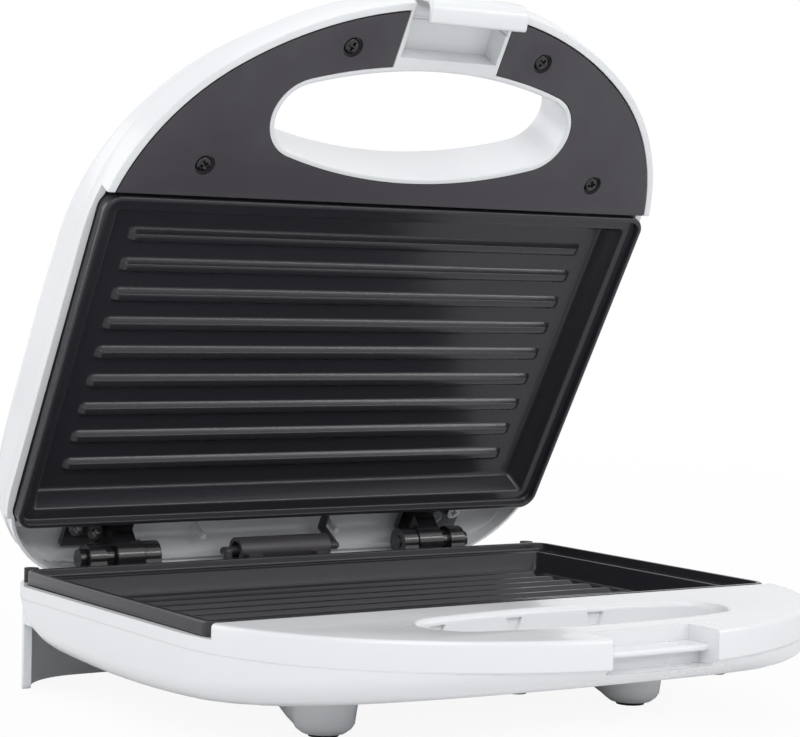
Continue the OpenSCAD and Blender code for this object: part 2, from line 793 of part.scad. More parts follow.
// One plate with its lip at Z = 0, facing up and cast downwards
module plate() {
    difference() {
        union() {
            translate([0, 0, -rim_block_h]) linear_extrude(rim_block_h) plate_outline(0);
            translate([0, -tub_in, -tub_deep]) linear_extrude(tub_deep - rim_block_h + 0.1)
                round_rect(plate_w - 2 * tub_in, plate_d - 2 * tub_in, tub_r);
            for (s = [-1, 1], y = [-1, 1]) post(s * strap_x, heater_y + y * strap_hole, post_r,
                -strap_deep, -tub_deep + 1);
            both_sides() {
                slab(tab_x - tab_w / 2, tab_x + tab_w / 2, -plate_d - tab_len, -plate_d + 4,
                    -rim_block_h, -rim_block_h + tab_t);
                slab(rear_tab_x - rear_tab_w / 2, rear_tab_x + rear_tab_w / 2, -tub_in - 1,
                    rear_rib_y + rear_rib_t - 0.4, -rear_tab_low, -rear_tab_low + rear_tab_t);
            }
        }
        translate([0, 0, -ledge_depth]) linear_extrude(ledge_depth + 1) plate_outline(lip_w);
        plate_hollow();
        for (s = [-1, 1], y = [-1, 1]) post(s * strap_x, heater_y + y * strap_hole, shank_hole_r,
            -strap_deep - 1, -tub_deep);
        both_sides() post(tab_x, tab_screw_y, shank_hole_r + 0.2,
            -rim_block_h - 1, -rim_block_h + tab_t + 1);
    }
    ribs();
}

module plate_hollow() {
    hull() {
        translate([0, 0, -ledge_depth]) linear_extrude(0.1) plate_outline(lip_w + ledge_w, $fn = 48);
        translate([0, 0, -floor_depth]) linear_extrude(0.1)
            plate_outline(lip_w + ledge_w + slope_run, $fn = 48);
    }
}

module ribs() {
    span = (rib_count - 1) * rib_pitch;
    intersection() {
        for (i = [0:rib_count - 1]) along_x(-rib_len / 2, rib_len)
            translate([-plate_d / 2 - span / 2 + i * rib_pitch, -floor_depth - 0.1])
                polygon([[-rib_foot / 2, 0], [rib_foot / 2, 0], [rib_crest / 2, rib_h + 0.1],
                    [-rib_crest / 2, rib_h + 0.1]]);
        translate([0, -plate_d / 2 + span, 0]) rotate([90, 0, 0]) linear_extrude(2 * span)
            polygon([[-rib_len / 2, -floor_depth - 0.1], [rib_len / 2, -floor_depth - 0.1],
                [rib_len / 2 - rib_h, -floor_depth + rib_h], [-rib_len / 2 + rib_h, -floor_depth + rib_h]]);
    }
}

// U-shaped tubular heater under a plate
module heater() {
    translate([0, heater_y, -heater_deep]) {
        for (s = [-1, 1]) bar_x(heater_r, heater_x0, heater_len / 2, s * heater_gap / 2, 0);
        translate([heater_len / 2, 0, 0]) rotate([0, 0, -90]) rotate_extrude(angle = 180)
            translate([heater_gap / 2, 0]) circle(heater_r);
    }
}

module heater_ends() {
    translate([0, heater_y, -heater_deep]) for (s = [-1, 1]) {
        bar_x(1.2, heater_x0 - 12, heater_x0, s * heater_gap / 2, 0);
        bar_x(heater_r - 0.3, heater_x0 - 4, heater_x0 - 0.1, s * heater_gap / 2, 0);
    }
}

module straps() {
    for (s = [-1, 1]) difference() {
        slab(s * strap_x - strap_w / 2, s * strap_x + strap_w / 2, heater_y - strap_len / 2,
            heater_y + strap_len / 2, -strap_deep - strap_t, -strap_deep);
        for (y = [-1, 1]) post(s * strap_x, heater_y + y * strap_hole, shank_hole_r + 0.2, -far, 0);
    }
}

module reflector() {
    difference() {
        union() {
            slab(-heater_len / 2 - 14, reflector_end, heater_y - reflector_half,
                heater_y + reflector_half, -reflector_deep - reflector_t, -reflector_deep);
            for (s = [-1, 1]) slab(-heater_len / 2 - 14, reflector_end,
                heater_y + s * reflector_half - reflector_t / 2,
                heater_y + s * reflector_half + reflector_t / 2,
                -reflector_deep - reflector_t, -reflector_deep + reflector_lip);
        }
        for (s = [-1, 1], y = [-1, 1])
            post(s * strap_x, heater_y + y * strap_hole, shank_hole_r + 0.2, -far, 0);
        post(wire_x, heater_y, wire_r + 0.6, -far, 0);
    }
}

module strap_screws() {
    for (s = [-1, 1], y = [-1, 1]) screw(s * strap_x, heater_y + y * strap_hole,
        -reflector_deep - reflector_t - small_head_h, 1, small_head_r, small_head_h, 6);
}

module flipped() {
    mirror([0, 0, 1]) children();
}

module lower_plate() color([0.17, 0.17, 0.19]) on_base() plate();
module lower_plate_screws() color([0.7, 0.7, 0.72]) on_base() both_sides()
    screw(tab_x, tab_screw_y, -rim_block_h - 1.8, 1, 2.9, 1.8, 4.4);
module lower_heater() color([0.35, 0.36, 0.36]) on_base() heater();
module lower_heater_ends() color([0.9, 0.88, 0.8]) on_base() heater_ends();
module lower_straps() color([0.7, 0.7, 0.72]) on_base() straps();
module lower_strap_screws() color([0.6, 0.6, 0.62]) on_base() strap_screws();
module lower_reflector() color([0.8, 0.81, 0.82]) on_base() reflector();
module upper_plate() color([0.17, 0.17, 0.19]) on_lid() flipped() plate();
module upper_plate_screws() color([0.7, 0.7, 0.72]) on_lid() both_sides()
    screw(tab_x, tab_screw_y, rim_block_h - tab_t - 1.5, 1, 2.9, 1.5, 6);
module upper_heater() color([0.35, 0.36, 0.36]) on_lid() flipped() heater();
module upper_heater_ends() color([0.9, 0.88, 0.8]) on_lid() flipped() heater_ends();
module upper_straps() color([0.7, 0.7, 0.72]) on_lid() flipped() straps();
module upper_strap_screws() color([0.6, 0.6, 0.62]) on_lid() flipped() strap_screws();
module upper_reflector() color([0.8, 0.81, 0.82]) on_lid() flipped() reflector();

// Disc thermostat against the back of the upper plate
module thermostat() color([0.2, 0.15, 0.12]) on_lid() translate([0, heater_y, tub_deep + 0.05]) {
    cylinder(r = thermo_r, h = strap_deep - tub_deep - 1);
    for (s = [-1, 1]) translate([s * (thermo_r + 1), 0, 2]) cube([7, 4, 0.8], center = true);
}

// Thermal fuse in its sleeve against the back of the lower plate
module thermal_fuse() color([0.8, 0.78, 0.7]) on_base()
    translate([-9, heater_y, -tub_deep - 0.05 - 2.4]) rotate([0, 90, 0]) {
        cylinder(r = 2.4, h = 18);
        translate([0, 0, -8]) cylinder(r = 0.7, h = 34);
    }

// ---- hinge ----

module lug(x0, x1) {
    bar_x(lug_r, x0, x1, hinge_y, hinge_z);
    along_x(x0, x1 - x0) polygon([[bracket_front, -notch_deep], [bracket_back, -notch_deep],
        [hinge_y + lug_r * 0.5, hinge_z - lug_r * 0.86], [hinge_y, hinge_z],
        [hinge_y - lug_r * 0.86, hinge_z + lug_r * 0.5]]);
}

module hinge_base_brackets() color([0.1, 0.1, 0.11]) on_base() both_sides() difference() {
    union() {
        lug(lug_in_x, lug_in_x + lug_in_t);
        lug(lug_out_x, lug_out_x + lug_t);
        // spacer collar on the outer lug
        bar_x(4, barrel_x + barrel_len + hinge_gap, lug_out_x + 1, hinge_y, hinge_z);
        slab(lug_in_x, lug_out_x + lug_t, bracket_front, bracket_back, -notch_deep,
            -notch_deep + bracket_foot_t);
    }
    bar_x(pin_hole_r, lug_in_x - 1, lug_out_x + lug_t + 1, hinge_y, hinge_z);
    post(foot_screw_x, bracket_front + 3.4, shank_hole_r + 0.2, -far, 0);
}

module hinge_base_screws() color([0.6, 0.6, 0.62]) on_base() both_sides()
    screw(foot_screw_x, bracket_front + 3.4, -notch_deep + bracket_foot_t + small_head_h, -1,
        small_head_r, small_head_h, 5.6);

module hinge_pins() color([0.75, 0.75, 0.77]) on_base() both_sides() {
    bar_x(pin_r, pin_start_x, pin_end_x, hinge_y, hinge_z);
    bar_x(pin_head_r, pin_end_x, pin_end_x + pin_head_t, hinge_y, hinge_z);
}

module hinge_lid_brackets() color([0.1, 0.1, 0.11]) on_lid() both_sides() difference() {
    union() {
        bar_x(barrel_r, barrel_x, barrel_x + barrel_len, hinge_y, hinge_z - closed_gap);
        along_x(arm_x, barrel_x + barrel_len - arm_x) polygon([
            [hinge_y - barrel_r + 0.5, hinge_z - closed_gap], [hinge_y + barrel_r - 0.5, hinge_z - closed_gap],
            [arm_plate_back, arm_top], [arm_plate_front, arm_top]]);
        slab(barrel_x - 1, arm_plate_out, arm_plate_front, arm_plate_back,
            arm_top - arm_plate_t, arm_top);
    }
    bar_x(pin_hole_r, barrel_x - 1, barrel_x + barrel_len + 1, hinge_y, hinge_z - closed_gap);
    for (p = arm_spots) post(p[0], p[1], shank_hole_r + 0.2, 0, far);
}

module hinge_lid_screws() color([0.6, 0.6, 0.62]) on_lid() both_sides()
    for (p = arm_spots)
        screw(p[0], p[1], arm_top - arm_plate_t - small_head_h, 1, small_head_r, small_head_h, arm_screw_len);

// Sleeve on the hinge axis that guides the wires from the base into the lid
module wire_sleeve() color([0.15, 0.15, 0.16]) on_base() difference() {
    union() {
        bar_x(sleeve_r, -sleeve_half, sleeve_half, hinge_y, hinge_z);
        for (s = [-1, 1]) slab(s * (sleeve_half - 5) - 3, s * (sleeve_half - 5) + 3, bracket_front + 1,
            bracket_back, -notch_deep, hinge_z - 1);
    }
    bar_x(sleeve_r - 1.5, -sleeve_half - 1, sleeve_half + 1, hinge_y, hinge_z);
}

// Round wire along a row of points
module wire(points) {
    for (i = [0:len(points) - 2]) {
        v = points[i + 1] - points[i];
        translate(points[i]) rotate([0, acos(v.z / norm(v)), atan2(v.y, v.x)])
            cylinder(r = wire_r, h = norm(v), $fn = 32);
    }
    for (i = [1:len(points) - 2]) translate(points[i]) sphere(wire_r, $fn = 32);
}

module base_wires() color([0.75, 0.2, 0.15]) on_base()
    wire([[-1, hinge_y, hinge_z], [-wire_x, hinge_y, hinge_z], [-wire_x, wire_y, hinge_z],
        [-wire_x, wire_y, -block_z],
        [-wire_x, (block_front + block_back) / 2, -block_z],
        [-block_half - clear, (block_front + block_back) / 2, -block_z]]);

module lid_wires() color([0.2, 0.3, 0.7]) on_lid() {
    axis_z = hinge_z - closed_gap;
    wire([[1, hinge_y, axis_z], [wire_x, hinge_y, axis_z], [wire_x, hinge_y, wire_z - 3.5],
        [wire_x, hinge_y - 8, wire_z - 3.5], [wire_x, hinge_y - 8, wire_z], [wire_x, -17, wire_z],
        [wire_x, -17, reflector_deep + 4], [wire_x, heater_y, reflector_deep + 4],
        [wire_x, heater_y, tub_deep + 3.5], [thermo_r + 5.5, heater_y, tub_deep + 3.5]]);
}

// ---- lid body ----

module lid_outer() {
    translate([0, 0, rim_drop]) linear_extrude(band_h) lid_outline(0);
    intersection() {
        linear_extrude(band_low) lid_outline(0);
        slab(-far, far, nose_y - 1, deck_y, -far, far);
    }
    lid_dome();
    lid_bar();
}

module lid_cavity() {
    intersection() {
        translate([0, 0, -1]) linear_extrude(band_low + 1) lid_outline(rim_in);
        slab(-far, far, -plate_d - clear, far, -far, far);
    }
    translate([0, 0, -1]) linear_extrude(rim_block_h + clear + 1) plate_outline(-clear);
    intersection() {
        translate([0, 0, -1]) linear_extrude(band_low + 1) lid_outline(cover_rim);
        slab(-far, far, nose_y - 1, -plate_d, -far, far);
    }
    lid_room();
}

module lid_keeps() {
    difference() {
        lid_grip(grip_wall, 0, far);
        lid_grip(0, -1, far);
    }
    // block round the latch
    slab(-bay_half - bay_wall, bay_half + bay_wall, nose_y - 1, -lid_grip_y - lid_grip_b, 0, far);
    for (p = cover_spots) post(p[0], p[1], boss_r, cover_t, far);
    both_sides() post(tab_x, tab_screw_y, boss_r, rim_block_h, far);
    // rib behind the plate, which its rear tabs hook into
    slab(-far, far, rear_rib_y, rear_rib_y + rear_rib_t, rear_rib_top, far);
    both_sides() for (f = [0.2, 0.5, 0.8])
        slab(plate_w / 2 - 3.5, half_w, -plate_d * f - 6, -plate_d * f + 6, rim_block_h, tub_deep);
    both_sides() {
        post(lamp_post_x, lens_y, 2.2, lamp_z - clear, far);
        for (p = arm_spots) post(p[0], p[1], boss_r, arm_top, far);
    }
}

module lid_shell() color([0.93, 0.93, 0.94]) on_lid() difference() {
    lid_outer();
    difference() {
        lid_cavity();
        lid_keeps();
    }
    lid_grip(0, -1, far);
    // pocket and slot for the latch
    slab(-latch_w / 2, latch_w / 2, bay_slot_y - 1, bay_bar_y, -1, latch_pin_z + 2.8);
    slab(-bay_half, bay_half, nose_y - 2, bay_slot_y, -1, bay_roof);
    bar_x(latch_pin_r, -bay_half - bay_wall - 1, bay_half + bay_wall + 1, latch_cy, latch_pin_z);
    both_sides() slab(rear_tab_x - rear_tab_w / 2 - clear, rear_tab_x + rear_tab_w / 2 + clear,
        0, rear_rib_y + rear_rib_t + 1, rear_tab_low - rear_tab_t - clear, rear_tab_low + clear);
    // passage for the wires through the rib
    slab(wire_x - wire_r - 0.6, wire_x + wire_r + 0.6, 0, rear_rib_y + rear_rib_t + 1,
        wire_z - wire_r - 0.6, wire_z + wire_r + 0.6);
    for (p = cover_spots) post(p[0], p[1], shank_hole_r, 0, cover_t + 8);
    both_sides() {
        post(tab_x, tab_screw_y, shank_hole_r, 0, rim_block_h + 5);
        for (p = arm_spots) post(p[0], p[1], shank_hole_r, arm_top - 1, arm_top + 5.5);
        post(lens_x, lens_y, lens_r + 0.1, 10, far);
    }
}

module lid_handle_cover() color([0.28, 0.27, 0.29]) on_lid() difference() {
    intersection() {
        translate([0, 0, 0]) linear_extrude(cover_t) lid_outline(cover_rim + clear);
        slab(-far, far, nose_y - 1, -plate_d - deck_gap, -far, far);
    }
    lid_grip(grip_wall + clear, -1, far);
    slab(-bay_half - bay_wall - clear, bay_half + bay_wall + clear, nose_y - 1, -lid_grip_y, -1, far);
    for (p = cover_spots) {
        post(p[0], p[1], shank_hole_r + 0.2, -1, far);
        post(p[0], p[1], cover_hole_d / 2, -1, cover_head_h + 0.3);
    }
}

module cover_screws() color([0.12, 0.12, 0.13]) on_lid()
    for (p = cover_spots) screw(p[0], p[1], 0.3, 1, cover_head_d / 2, cover_head_h, cover_screw_len);

module lens() {
    post(0, 0, lens_r, lamp_z, dome_z(lens_y) + 0.8);
    post(0, 0, lens_r + 1.4, lamp_z, lamp_z + 1.4);
}

module power_lens() color([0.8, 0.1, 0.08]) on_lid() translate([-lens_x, lens_y, 0]) lens();
module ready_lens() color([0.1, 0.6, 0.2]) on_lid() translate([lens_x, lens_y, 0]) lens();

// Holder that keeps both indicator lamps under their lenses
module lamp_holder() color([0.85, 0.85, 0.82]) on_lid() difference() {
    slab(-lamp_post_x - 3, lamp_post_x + 3, lens_y - holder_half, lens_y + holder_half, lamp_z - clear - 1.3,
        lamp_z - clear);
    both_sides() post(lens_x, lens_y, 2, -1, far);
}

// ---- latch ----

// Latch drawn about its pin, hooked under the catch
module latch_side_view() {
    top = -latch_pin_y;
    low = -latch_pin_z - latch_deep;
    r = 3.5;
    difference() {
        union() {
            circle(latch_barrel_r);
            translate([top, low + r]) square([latch_t, -low - r + latch_barrel_r]);
            translate([top, 0]) square([latch_pin_y, latch_barrel_r]);
            translate([top + r, low]) square([hook_len - r, latch_t]);
            intersection() {
                difference() {
                    translate([top + r, low + r]) circle(r);
                    translate([top + r, low + r]) circle(r - latch_t);
                }
                translate([top, low]) square(r);
            }
            translate([top + hook_len - latch_t / 2, low + latch_t / 2]) circle(latch_t / 2);
        }
        translate([top - 1, latch_barrel_r - 2]) difference() {
            square([3, 3]);
            translate([3, 0]) circle(2);
        }
    }
}

module latch() color([0.94, 0.94, 0.95]) on_latch() difference() {
    along_x(-latch_w / 2, latch_w) latch_side_view();
    bar_x(latch_pin_r + pin_clear, -latch_w, latch_w, 0, 0);
}

module latch_pin() color([0.75, 0.75, 0.77]) on_lid()
    bar_x(latch_pin_r, -bay_half - bay_wall, bay_half + bay_wall, latch_cy, latch_pin_z);

base_shell();
base_handle_cover();
base_cover_screws();
wiring_cover();
wiring_cover_screws();
rubber_feet();
rear_stops();
cord_gland();
terminal_block();
lower_plate();
lower_plate_screws();
lower_heater();
lower_heater_ends();
lower_straps();
lower_strap_screws();
lower_reflector();
thermal_fuse();
hinge_base_brackets();
hinge_base_screws();
hinge_pins();
wire_sleeve();
base_wires();
lid_shell();
lid_handle_cover();
cover_screws();
upper_plate();
upper_plate_screws();
upper_heater();
upper_heater_ends();
upper_straps();
upper_strap_screws();
upper_reflector();
thermostat();
hinge_lid_brackets();
hinge_lid_screws();
power_lens();
ready_lens();
lamp_holder();
lid_wires();
latch_pin();
latch();
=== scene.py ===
from math import atan2, cos, degrees, pi, radians, sin, sqrt

import bmesh
import bpy
from mathutils import Matrix, Vector


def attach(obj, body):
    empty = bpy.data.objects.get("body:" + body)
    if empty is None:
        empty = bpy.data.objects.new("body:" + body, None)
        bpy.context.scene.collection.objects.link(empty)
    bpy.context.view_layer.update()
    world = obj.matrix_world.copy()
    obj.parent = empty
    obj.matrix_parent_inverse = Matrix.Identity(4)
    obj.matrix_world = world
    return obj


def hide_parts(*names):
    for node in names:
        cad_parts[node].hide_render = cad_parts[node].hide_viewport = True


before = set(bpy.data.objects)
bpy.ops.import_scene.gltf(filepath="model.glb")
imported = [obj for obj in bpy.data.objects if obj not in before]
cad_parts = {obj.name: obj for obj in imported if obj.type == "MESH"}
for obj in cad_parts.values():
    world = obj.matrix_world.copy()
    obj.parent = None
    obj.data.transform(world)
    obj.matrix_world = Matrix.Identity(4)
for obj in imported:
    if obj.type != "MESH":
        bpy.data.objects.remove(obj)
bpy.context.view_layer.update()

# Lengths of the mouldings in millimetres, as in the part's source
MM = 0.001
BACK_SHIFT, STAND_H = 90.3952, 42.0
PLATE_W, PLATE_D, PLATE_R = 230.0, 136.0, 6.5
LIP_W, LEDGE_W, LEDGE_DEPTH, FLOOR_DEPTH, SLOPE_RUN = 2.0, 4.6, 3.0, 11.0, 3.0
RIM_BLOCK_H, TUB_DEEP, TUB_IN, TUB_R = 6.5, 13.2, 4.4, 8.0
RIB_COUNT, RIB_PITCH, RIB_H, RIB_CREST, RIB_FOOT, RIB_LEN = 9, 11.9, 2.0, 2.6, 5.8, 194.0
HALF_W, NOSE_Y, DECK_Y = 118.0, -216.4, -137.5
CHEEK_R, NOSE_R = 89.2, 137.8
CHEEK_X = HALF_W - CHEEK_R
NOSE_CY = NOSE_Y + NOSE_R
CHEEK_CY = NOSE_CY - sqrt((NOSE_R - CHEEK_R) ** 2 - CHEEK_X ** 2)
RIM_DROP, BAND_LOW, BAND_STEP, EDGE_W, EDGE_H = 5.0, 9.6, 1.0, 10.0, 8.6
WALL, RIM_IN, GRIP_WALL, FAR = 2.5, 2.7, 2.0, 200
BASE_REAR, BASE_REAR_R, BASE_DEEP, BELLY_Y, BELLY_R = 20.0, 32.0, 29.0, 75.0, 660.0
BASE_EDGE_W, TAIL_Y, TAIL_R, SKIRT_T, SKIRT_Y = 14.0, 29.0, 43.0, 3.0, -5.0
# Share of the band step that stays sharp, and the gap round a plate
CREASE, PLATE_GAP = 0.15, 0.3
FOOT_X, FOOT_Y, FOOT_TOP_D, FOOT_D, PAD_OUT, FOOT_TAIL = 64.0, 121.0, 23.5, 19.5, 1.2, 42.0
LID_REAR, LID_REAR_R = 29.0, 42.0
DOME_H, DOME_Y, DOME_R = 33.0, 61.4, 238.0
DOME_BACK_R, DOME_BACK_Y, DOME_BACK_Z = 36.0, 8.0, 6.0
BAR_BACK_H, BAR_NOSE_H = 22.0, 12.6
GRIP, GRIP_Y = (59.0, 18.0, 13.5), 170.5
LID_GRIP, LID_GRIP_Y = (61.0, 20.8, 13.5), 169.0
HINGE_Y, HINGE_Z, CLOSED_GAP, LID_OPEN = 14.5, 0.9, 0.4, 60.0
NOTCH_HALF, NOTCH_DEEP = 97.0, 16.0
LATCH_CY, LATCH_PIN_Z, LATCH_W, LATCH_OPEN, LATCH_DEEP = -210.5, 5.2, 40.0, 16.0, 10.0
BAY_HALF, BAY_SLOT_Y, BAY_BAR_Y = 20.5, -205.7, -194.4
CATCH_HALF, LEDGE_Y, LIP_R = 21, -209.15, 1.05
BOSS_R, ARM_SPOTS, SLEEVE_SPOT = 3.7, ((76.5, 10), (84.5, 8)), (30, 14)
LAMP_X, LAMP_Y, LAMP_HOLE_R = 11, -122, 4.15
BOX_HALF, BOX_FRONT, BOX_REAR, BOX_LOW = 32, -45, 18.5, -36
WRAP_X, WRAP_Z, GLAND_R, GLAND_Z, GLAND_FIT = 46, -25, 6.4, -27, 0.76
COVER_SPOTS = [(s * x, NOSE_Y + y) for s in (-1, 1) for x, y in ((40.0, 19.9), (82.7, 67.2))]

# Where each body's pieces lie in the whole
ON_BASE = Matrix.Translation((0, BACK_SHIFT, STAND_H))
ON_LID = (ON_BASE @ Matrix.Translation((0, HINGE_Y, HINGE_Z)) @ Matrix.Rotation(radians(-LID_OPEN), 4, "X")
          @ Matrix.Translation((0, -HINGE_Y, CLOSED_GAP - HINGE_Z)))
ON_LATCH = (ON_LID @ Matrix.Translation((0, LATCH_CY, LATCH_PIN_Z))
            @ Matrix.Rotation(radians(-LATCH_OPEN), 4, "X"))


# ---- outlines ----

def arc(cx, cy, r, start, end, count):
    return [(cx + r * cos(radians(start + (end - start) * i / count)),
             cy + r * sin(radians(start + (end - start) * i / count))) for i in range(count)]


def full_turn(count):
    return [2 * pi * i / count for i in range(count)]


def line(a, b, count):
    return [(a[0] + (b[0] - a[0]) * i / count, a[1] + (b[1] - a[1]) * i / count) for i in range(count)]


def shell_outline(inset, rear, rear_r):
    """Nose, cheeks, sides and rear corners, moved in by inset."""
    joint = degrees(atan2(CHEEK_CY - NOSE_CY, CHEEK_X))
    side = HALF_W - inset
    half = arc(0, NOSE_CY, NOSE_R - inset, -90, joint, 44)
    half += arc(CHEEK_X, CHEEK_CY, CHEEK_R - inset, joint, 0, 26)
    half += line((side, CHEEK_CY), (side, rear - rear_r), 14)
    half += arc(HALF_W - rear_r, rear - rear_r, rear_r - inset, 0, 90, 16)
    half += line((HALF_W - rear_r, rear - inset), (0, rear - inset), 10)
    half.append((0, rear - inset))
    return half + [(-x, y) for x, y in half[-2:0:-1]]


def lid_outline(inset):
    return shell_outline(inset, LID_REAR, LID_REAR_R)


def base_outline(inset):
    return shell_outline(inset, BASE_REAR, BASE_REAR_R)


def plate_outline(inset, corner=None):
    r = corner or max(PLATE_R - inset, 1.5)
    x, y0, y1 = PLATE_W / 2 - inset - r, -PLATE_D + inset + r, -inset - r
    pts = arc(x, y0, r, -90, 0, 10) + arc(x, y1, r, 0, 90, 10)
    pts += arc(-x, y1, r, 90, 180, 10) + arc(-x, y0, r, 180, 270, 10)
    return pts


def oval(size, grow, centre_y):
    a, b, r = (v + grow for v in size)
    big = ((a - r) ** 2 + b * b - r * r) / (2 * (b - r))
    joint = degrees(atan2(big - b, a - r))
    half = arc(0, big - b, big, -90, -joint, 22) + arc(a - r, 0, r, -joint, joint, 36)
    half += arc(0, b - big, big, joint, 90, 22) + [(0, b)]
    return [(x, y - centre_y) for x, y in half + [(-x, y) for x, y in half[-2:0:-1]]]


def grip_edge(x):
    """How far the rear edge of the base's handle opening lies behind its middle."""
    a, b, r = GRIP
    big = ((a - r) ** 2 + b * b - r * r) / (2 * (b - r))
    if abs(x) < big * (a - r) / (big - r):
        return b - big + sqrt(big * big - x * x)
    return sqrt(r * r - (abs(x) - a + r) ** 2)


# ---- heights of the curved shells ----

def soft_max(a, b, width):
    h = max(width - abs(a - b), 0) / width
    return max(a, b) + h * h * width / 4


def belly_arc(y):
    return BELLY_R - BASE_DEEP - sqrt(BELLY_R ** 2 - (y + BELLY_Y) ** 2)


def belly_z(y):
    if y < -TAIL_Y:
        return belly_arc(y)
    return belly_arc(-TAIL_Y) + TAIL_R - sqrt(TAIL_R ** 2 - min(y + TAIL_Y, TAIL_R) ** 2)


def lid_top(y, drop):
    long_arc = DOME_H - DOME_R + sqrt((DOME_R - drop) ** 2 - (y + DOME_Y) ** 2)
    behind = max(y + DOME_BACK_Y, 0)
    back_arc = sqrt(max((DOME_BACK_R - drop) ** 2 - behind ** 2, 0)) - DOME_BACK_Z
    dome = -soft_max(-long_arc, -back_arc, 3)
    bar = BAR_NOSE_H + (BAR_BACK_H - BAR_NOSE_H) * (y - NOSE_Y) / (DECK_Y - NOSE_Y)
    if y > DECK_Y + 30:
        return dome
    return soft_max(dome, bar - drop * 0.6, 5)


# ---- mesh work ----

def loft(rings, name, place=None):
    """A closed solid through rings of points, each ring with the same count."""
    bm = bmesh.new()
    loops = [[bm.verts.new(p) for p in ring] for ring in rings]
    for low, high in zip(loops, loops[1:]):
        for i in range(len(low)):
            j = (i + 1) % len(low)
            bm.faces.new((low[i], low[j], high[j], high[i]))
    bm.faces.new(loops[0][::-1])
    bm.faces.new(loops[-1])
    return finish_mesh(bm, name, place)


def finish_mesh(bm, name, place=None):
    bmesh.ops.recalc_face_normals(bm, faces=bm.faces)
    if place is not None:
        bm.transform(Matrix.Scale(MM, 4) @ place)
    mesh = bpy.data.meshes.new(name)
    bm.to_mesh(mesh)
    bm.free()
    piece = bpy.data.objects.new(name, mesh)
    bpy.context.scene.collection.objects.link(piece)
    return piece


def flat_ring(points, z):
    return [(x, y, z) for x, y in points]


def prism(points, z0, z1, name="cutter"):
    return loft([flat_ring(points, z0), flat_ring(points, z1)], name)


def block(x0, x1, y0, y1, z0, z1):
    return prism([(x0, y0), (x1, y0), (x1, y1), (x0, y1)], z0, z1)


def round_post(x, y, r, z0, z1, r_top=None, count=40):
    r_top = r if r_top is None else r_top
    return loft([flat_ring(arc(x, y, r, 0, 360, count), z0), flat_ring(arc(x, y, r_top, 0, 360, count), z1)],
                "cutter")


def along_x(points, x0, x1):
    """A solid whose side view is a row of (y, z) points."""
    return loft([[(x0, y, z) for y, z in points], [(x1, y, z) for y, z in points]], "cutter")


def combine(piece, others, kind="DIFFERENCE"):
    """Cuts the others out of the piece, or adds them to it."""
    for other in others:
        step = piece.modifiers.new("step", "BOOLEAN")
        step.object, step.operation, step.solver = other, kind, "MANIFOLD"
    bpy.context.view_layer.update()
    graph = bpy.context.evaluated_depsgraph_get()
    made = bpy.data.meshes.new_from_object(piece.evaluated_get(graph))
    piece.modifiers.clear()
    piece.data = made
    for other in others:
        bpy.data.objects.remove(other)
    if not made.polygons:
        raise RuntimeError("nothing left of " + piece.name)
    return piece


def settle(piece, place, sharp=32):
    """Moves a piece from its millimetre drawing into the whole and shades it."""
    mesh = piece.data
    mesh.transform(Matrix.Scale(MM, 4) @ place)
    bm = bmesh.new()
    bm.from_mesh(mesh)
    bmesh.ops.remove_doubles(bm, verts=bm.verts, dist=2e-6)
    bmesh.ops.dissolve_degenerate(bm, edges=bm.edges, dist=2e-6)
    bm.to_mesh(mesh)
    bm.free()
    mesh.shade_smooth()
    mesh.set_sharp_from_angle(angle=radians(sharp))
    return piece


def join(name, pieces):
    bm = bmesh.new()
    for piece in pieces:
        bm.from_mesh(piece.data)
        bpy.data.objects.remove(piece)
    mesh = bpy.data.meshes.new(name)
    bm.to_mesh(mesh)
    bm.free()
    whole = bpy.data.objects.new(name, mesh)
    bpy.context.scene.collection.objects.link(whole)
    return whole


# ---- lid moulding ----

ROUND_STEPS = 12


def edge_round(k, width=EDGE_W):
    t = radians(90 * k / ROUND_STEPS)
    return BAND_STEP + width * (1 - cos(t)), EDGE_H * (1 - sin(t))


def towards_middle(ring, height, steps=14, middle=(0.0, -95.0)):
    """Rings that close a shell's broad face, whose height depends on y only."""
    rings = []
    for i in range(1, steps):
        u = 1 - i / steps
        rings.append([(middle[0] + (x - middle[0]) * u, middle[1] + (y - middle[1]) * u,
                       height(middle[1] + (y - middle[1]) * u)) for x, y in ring])
    return rings


def lid_solid(shrink, name):
    """The lid's outside, or with shrink the room in it."""
    if shrink:
        rings = [flat_ring(lid_outline(RIM_IN), -1), flat_ring(lid_outline(RIM_IN), BAND_LOW - 0.02)]
    else:
        rings = [flat_ring(lid_outline(i), z) for i, z in (
            (0.6, 0), (0.2, 0.15), (0.03, 0.45), (0, 0.8), (0, BAND_LOW - 0.7), (0.1, BAND_LOW - 0.25),
            (0.35, BAND_LOW), (BAND_STEP - 0.05, BAND_LOW + 0.01))]
    for k in range(ROUND_STEPS + 1):
        inset, drop = edge_round(k)
        floor_z = BAND_LOW + 0.02 + 0.01 * k
        ring = lid_outline(inset + (WALL if shrink else 0))
        rings.append([(x, y, max(lid_top(y, drop) - shrink, floor_z)) for x, y in ring])
    rings += towards_middle(ring, lambda y: max(lid_top(y, 0) - shrink, BAND_LOW + 0.5))
    return loft(rings, name)


def flared_hole(size, centre_y, z_top, z_low, rounding):
    """A hole's room with its rim rounded over at z_top."""
    rings = [flat_ring(oval(size, rounding + 0.3, centre_y), z_top + (1 if z_top > z_low else -1))]
    way = -1 if z_top > z_low else 1
    for k in range(7):
        t = radians(90 * k / 6)
        rings.append(flat_ring(oval(size, rounding * (1 - sin(t)), centre_y),
                               z_top + way * rounding * (1 - cos(t))))
    rings.append(flat_ring(oval(size, 0, centre_y), z_low))
    return loft(rings, "cutter")


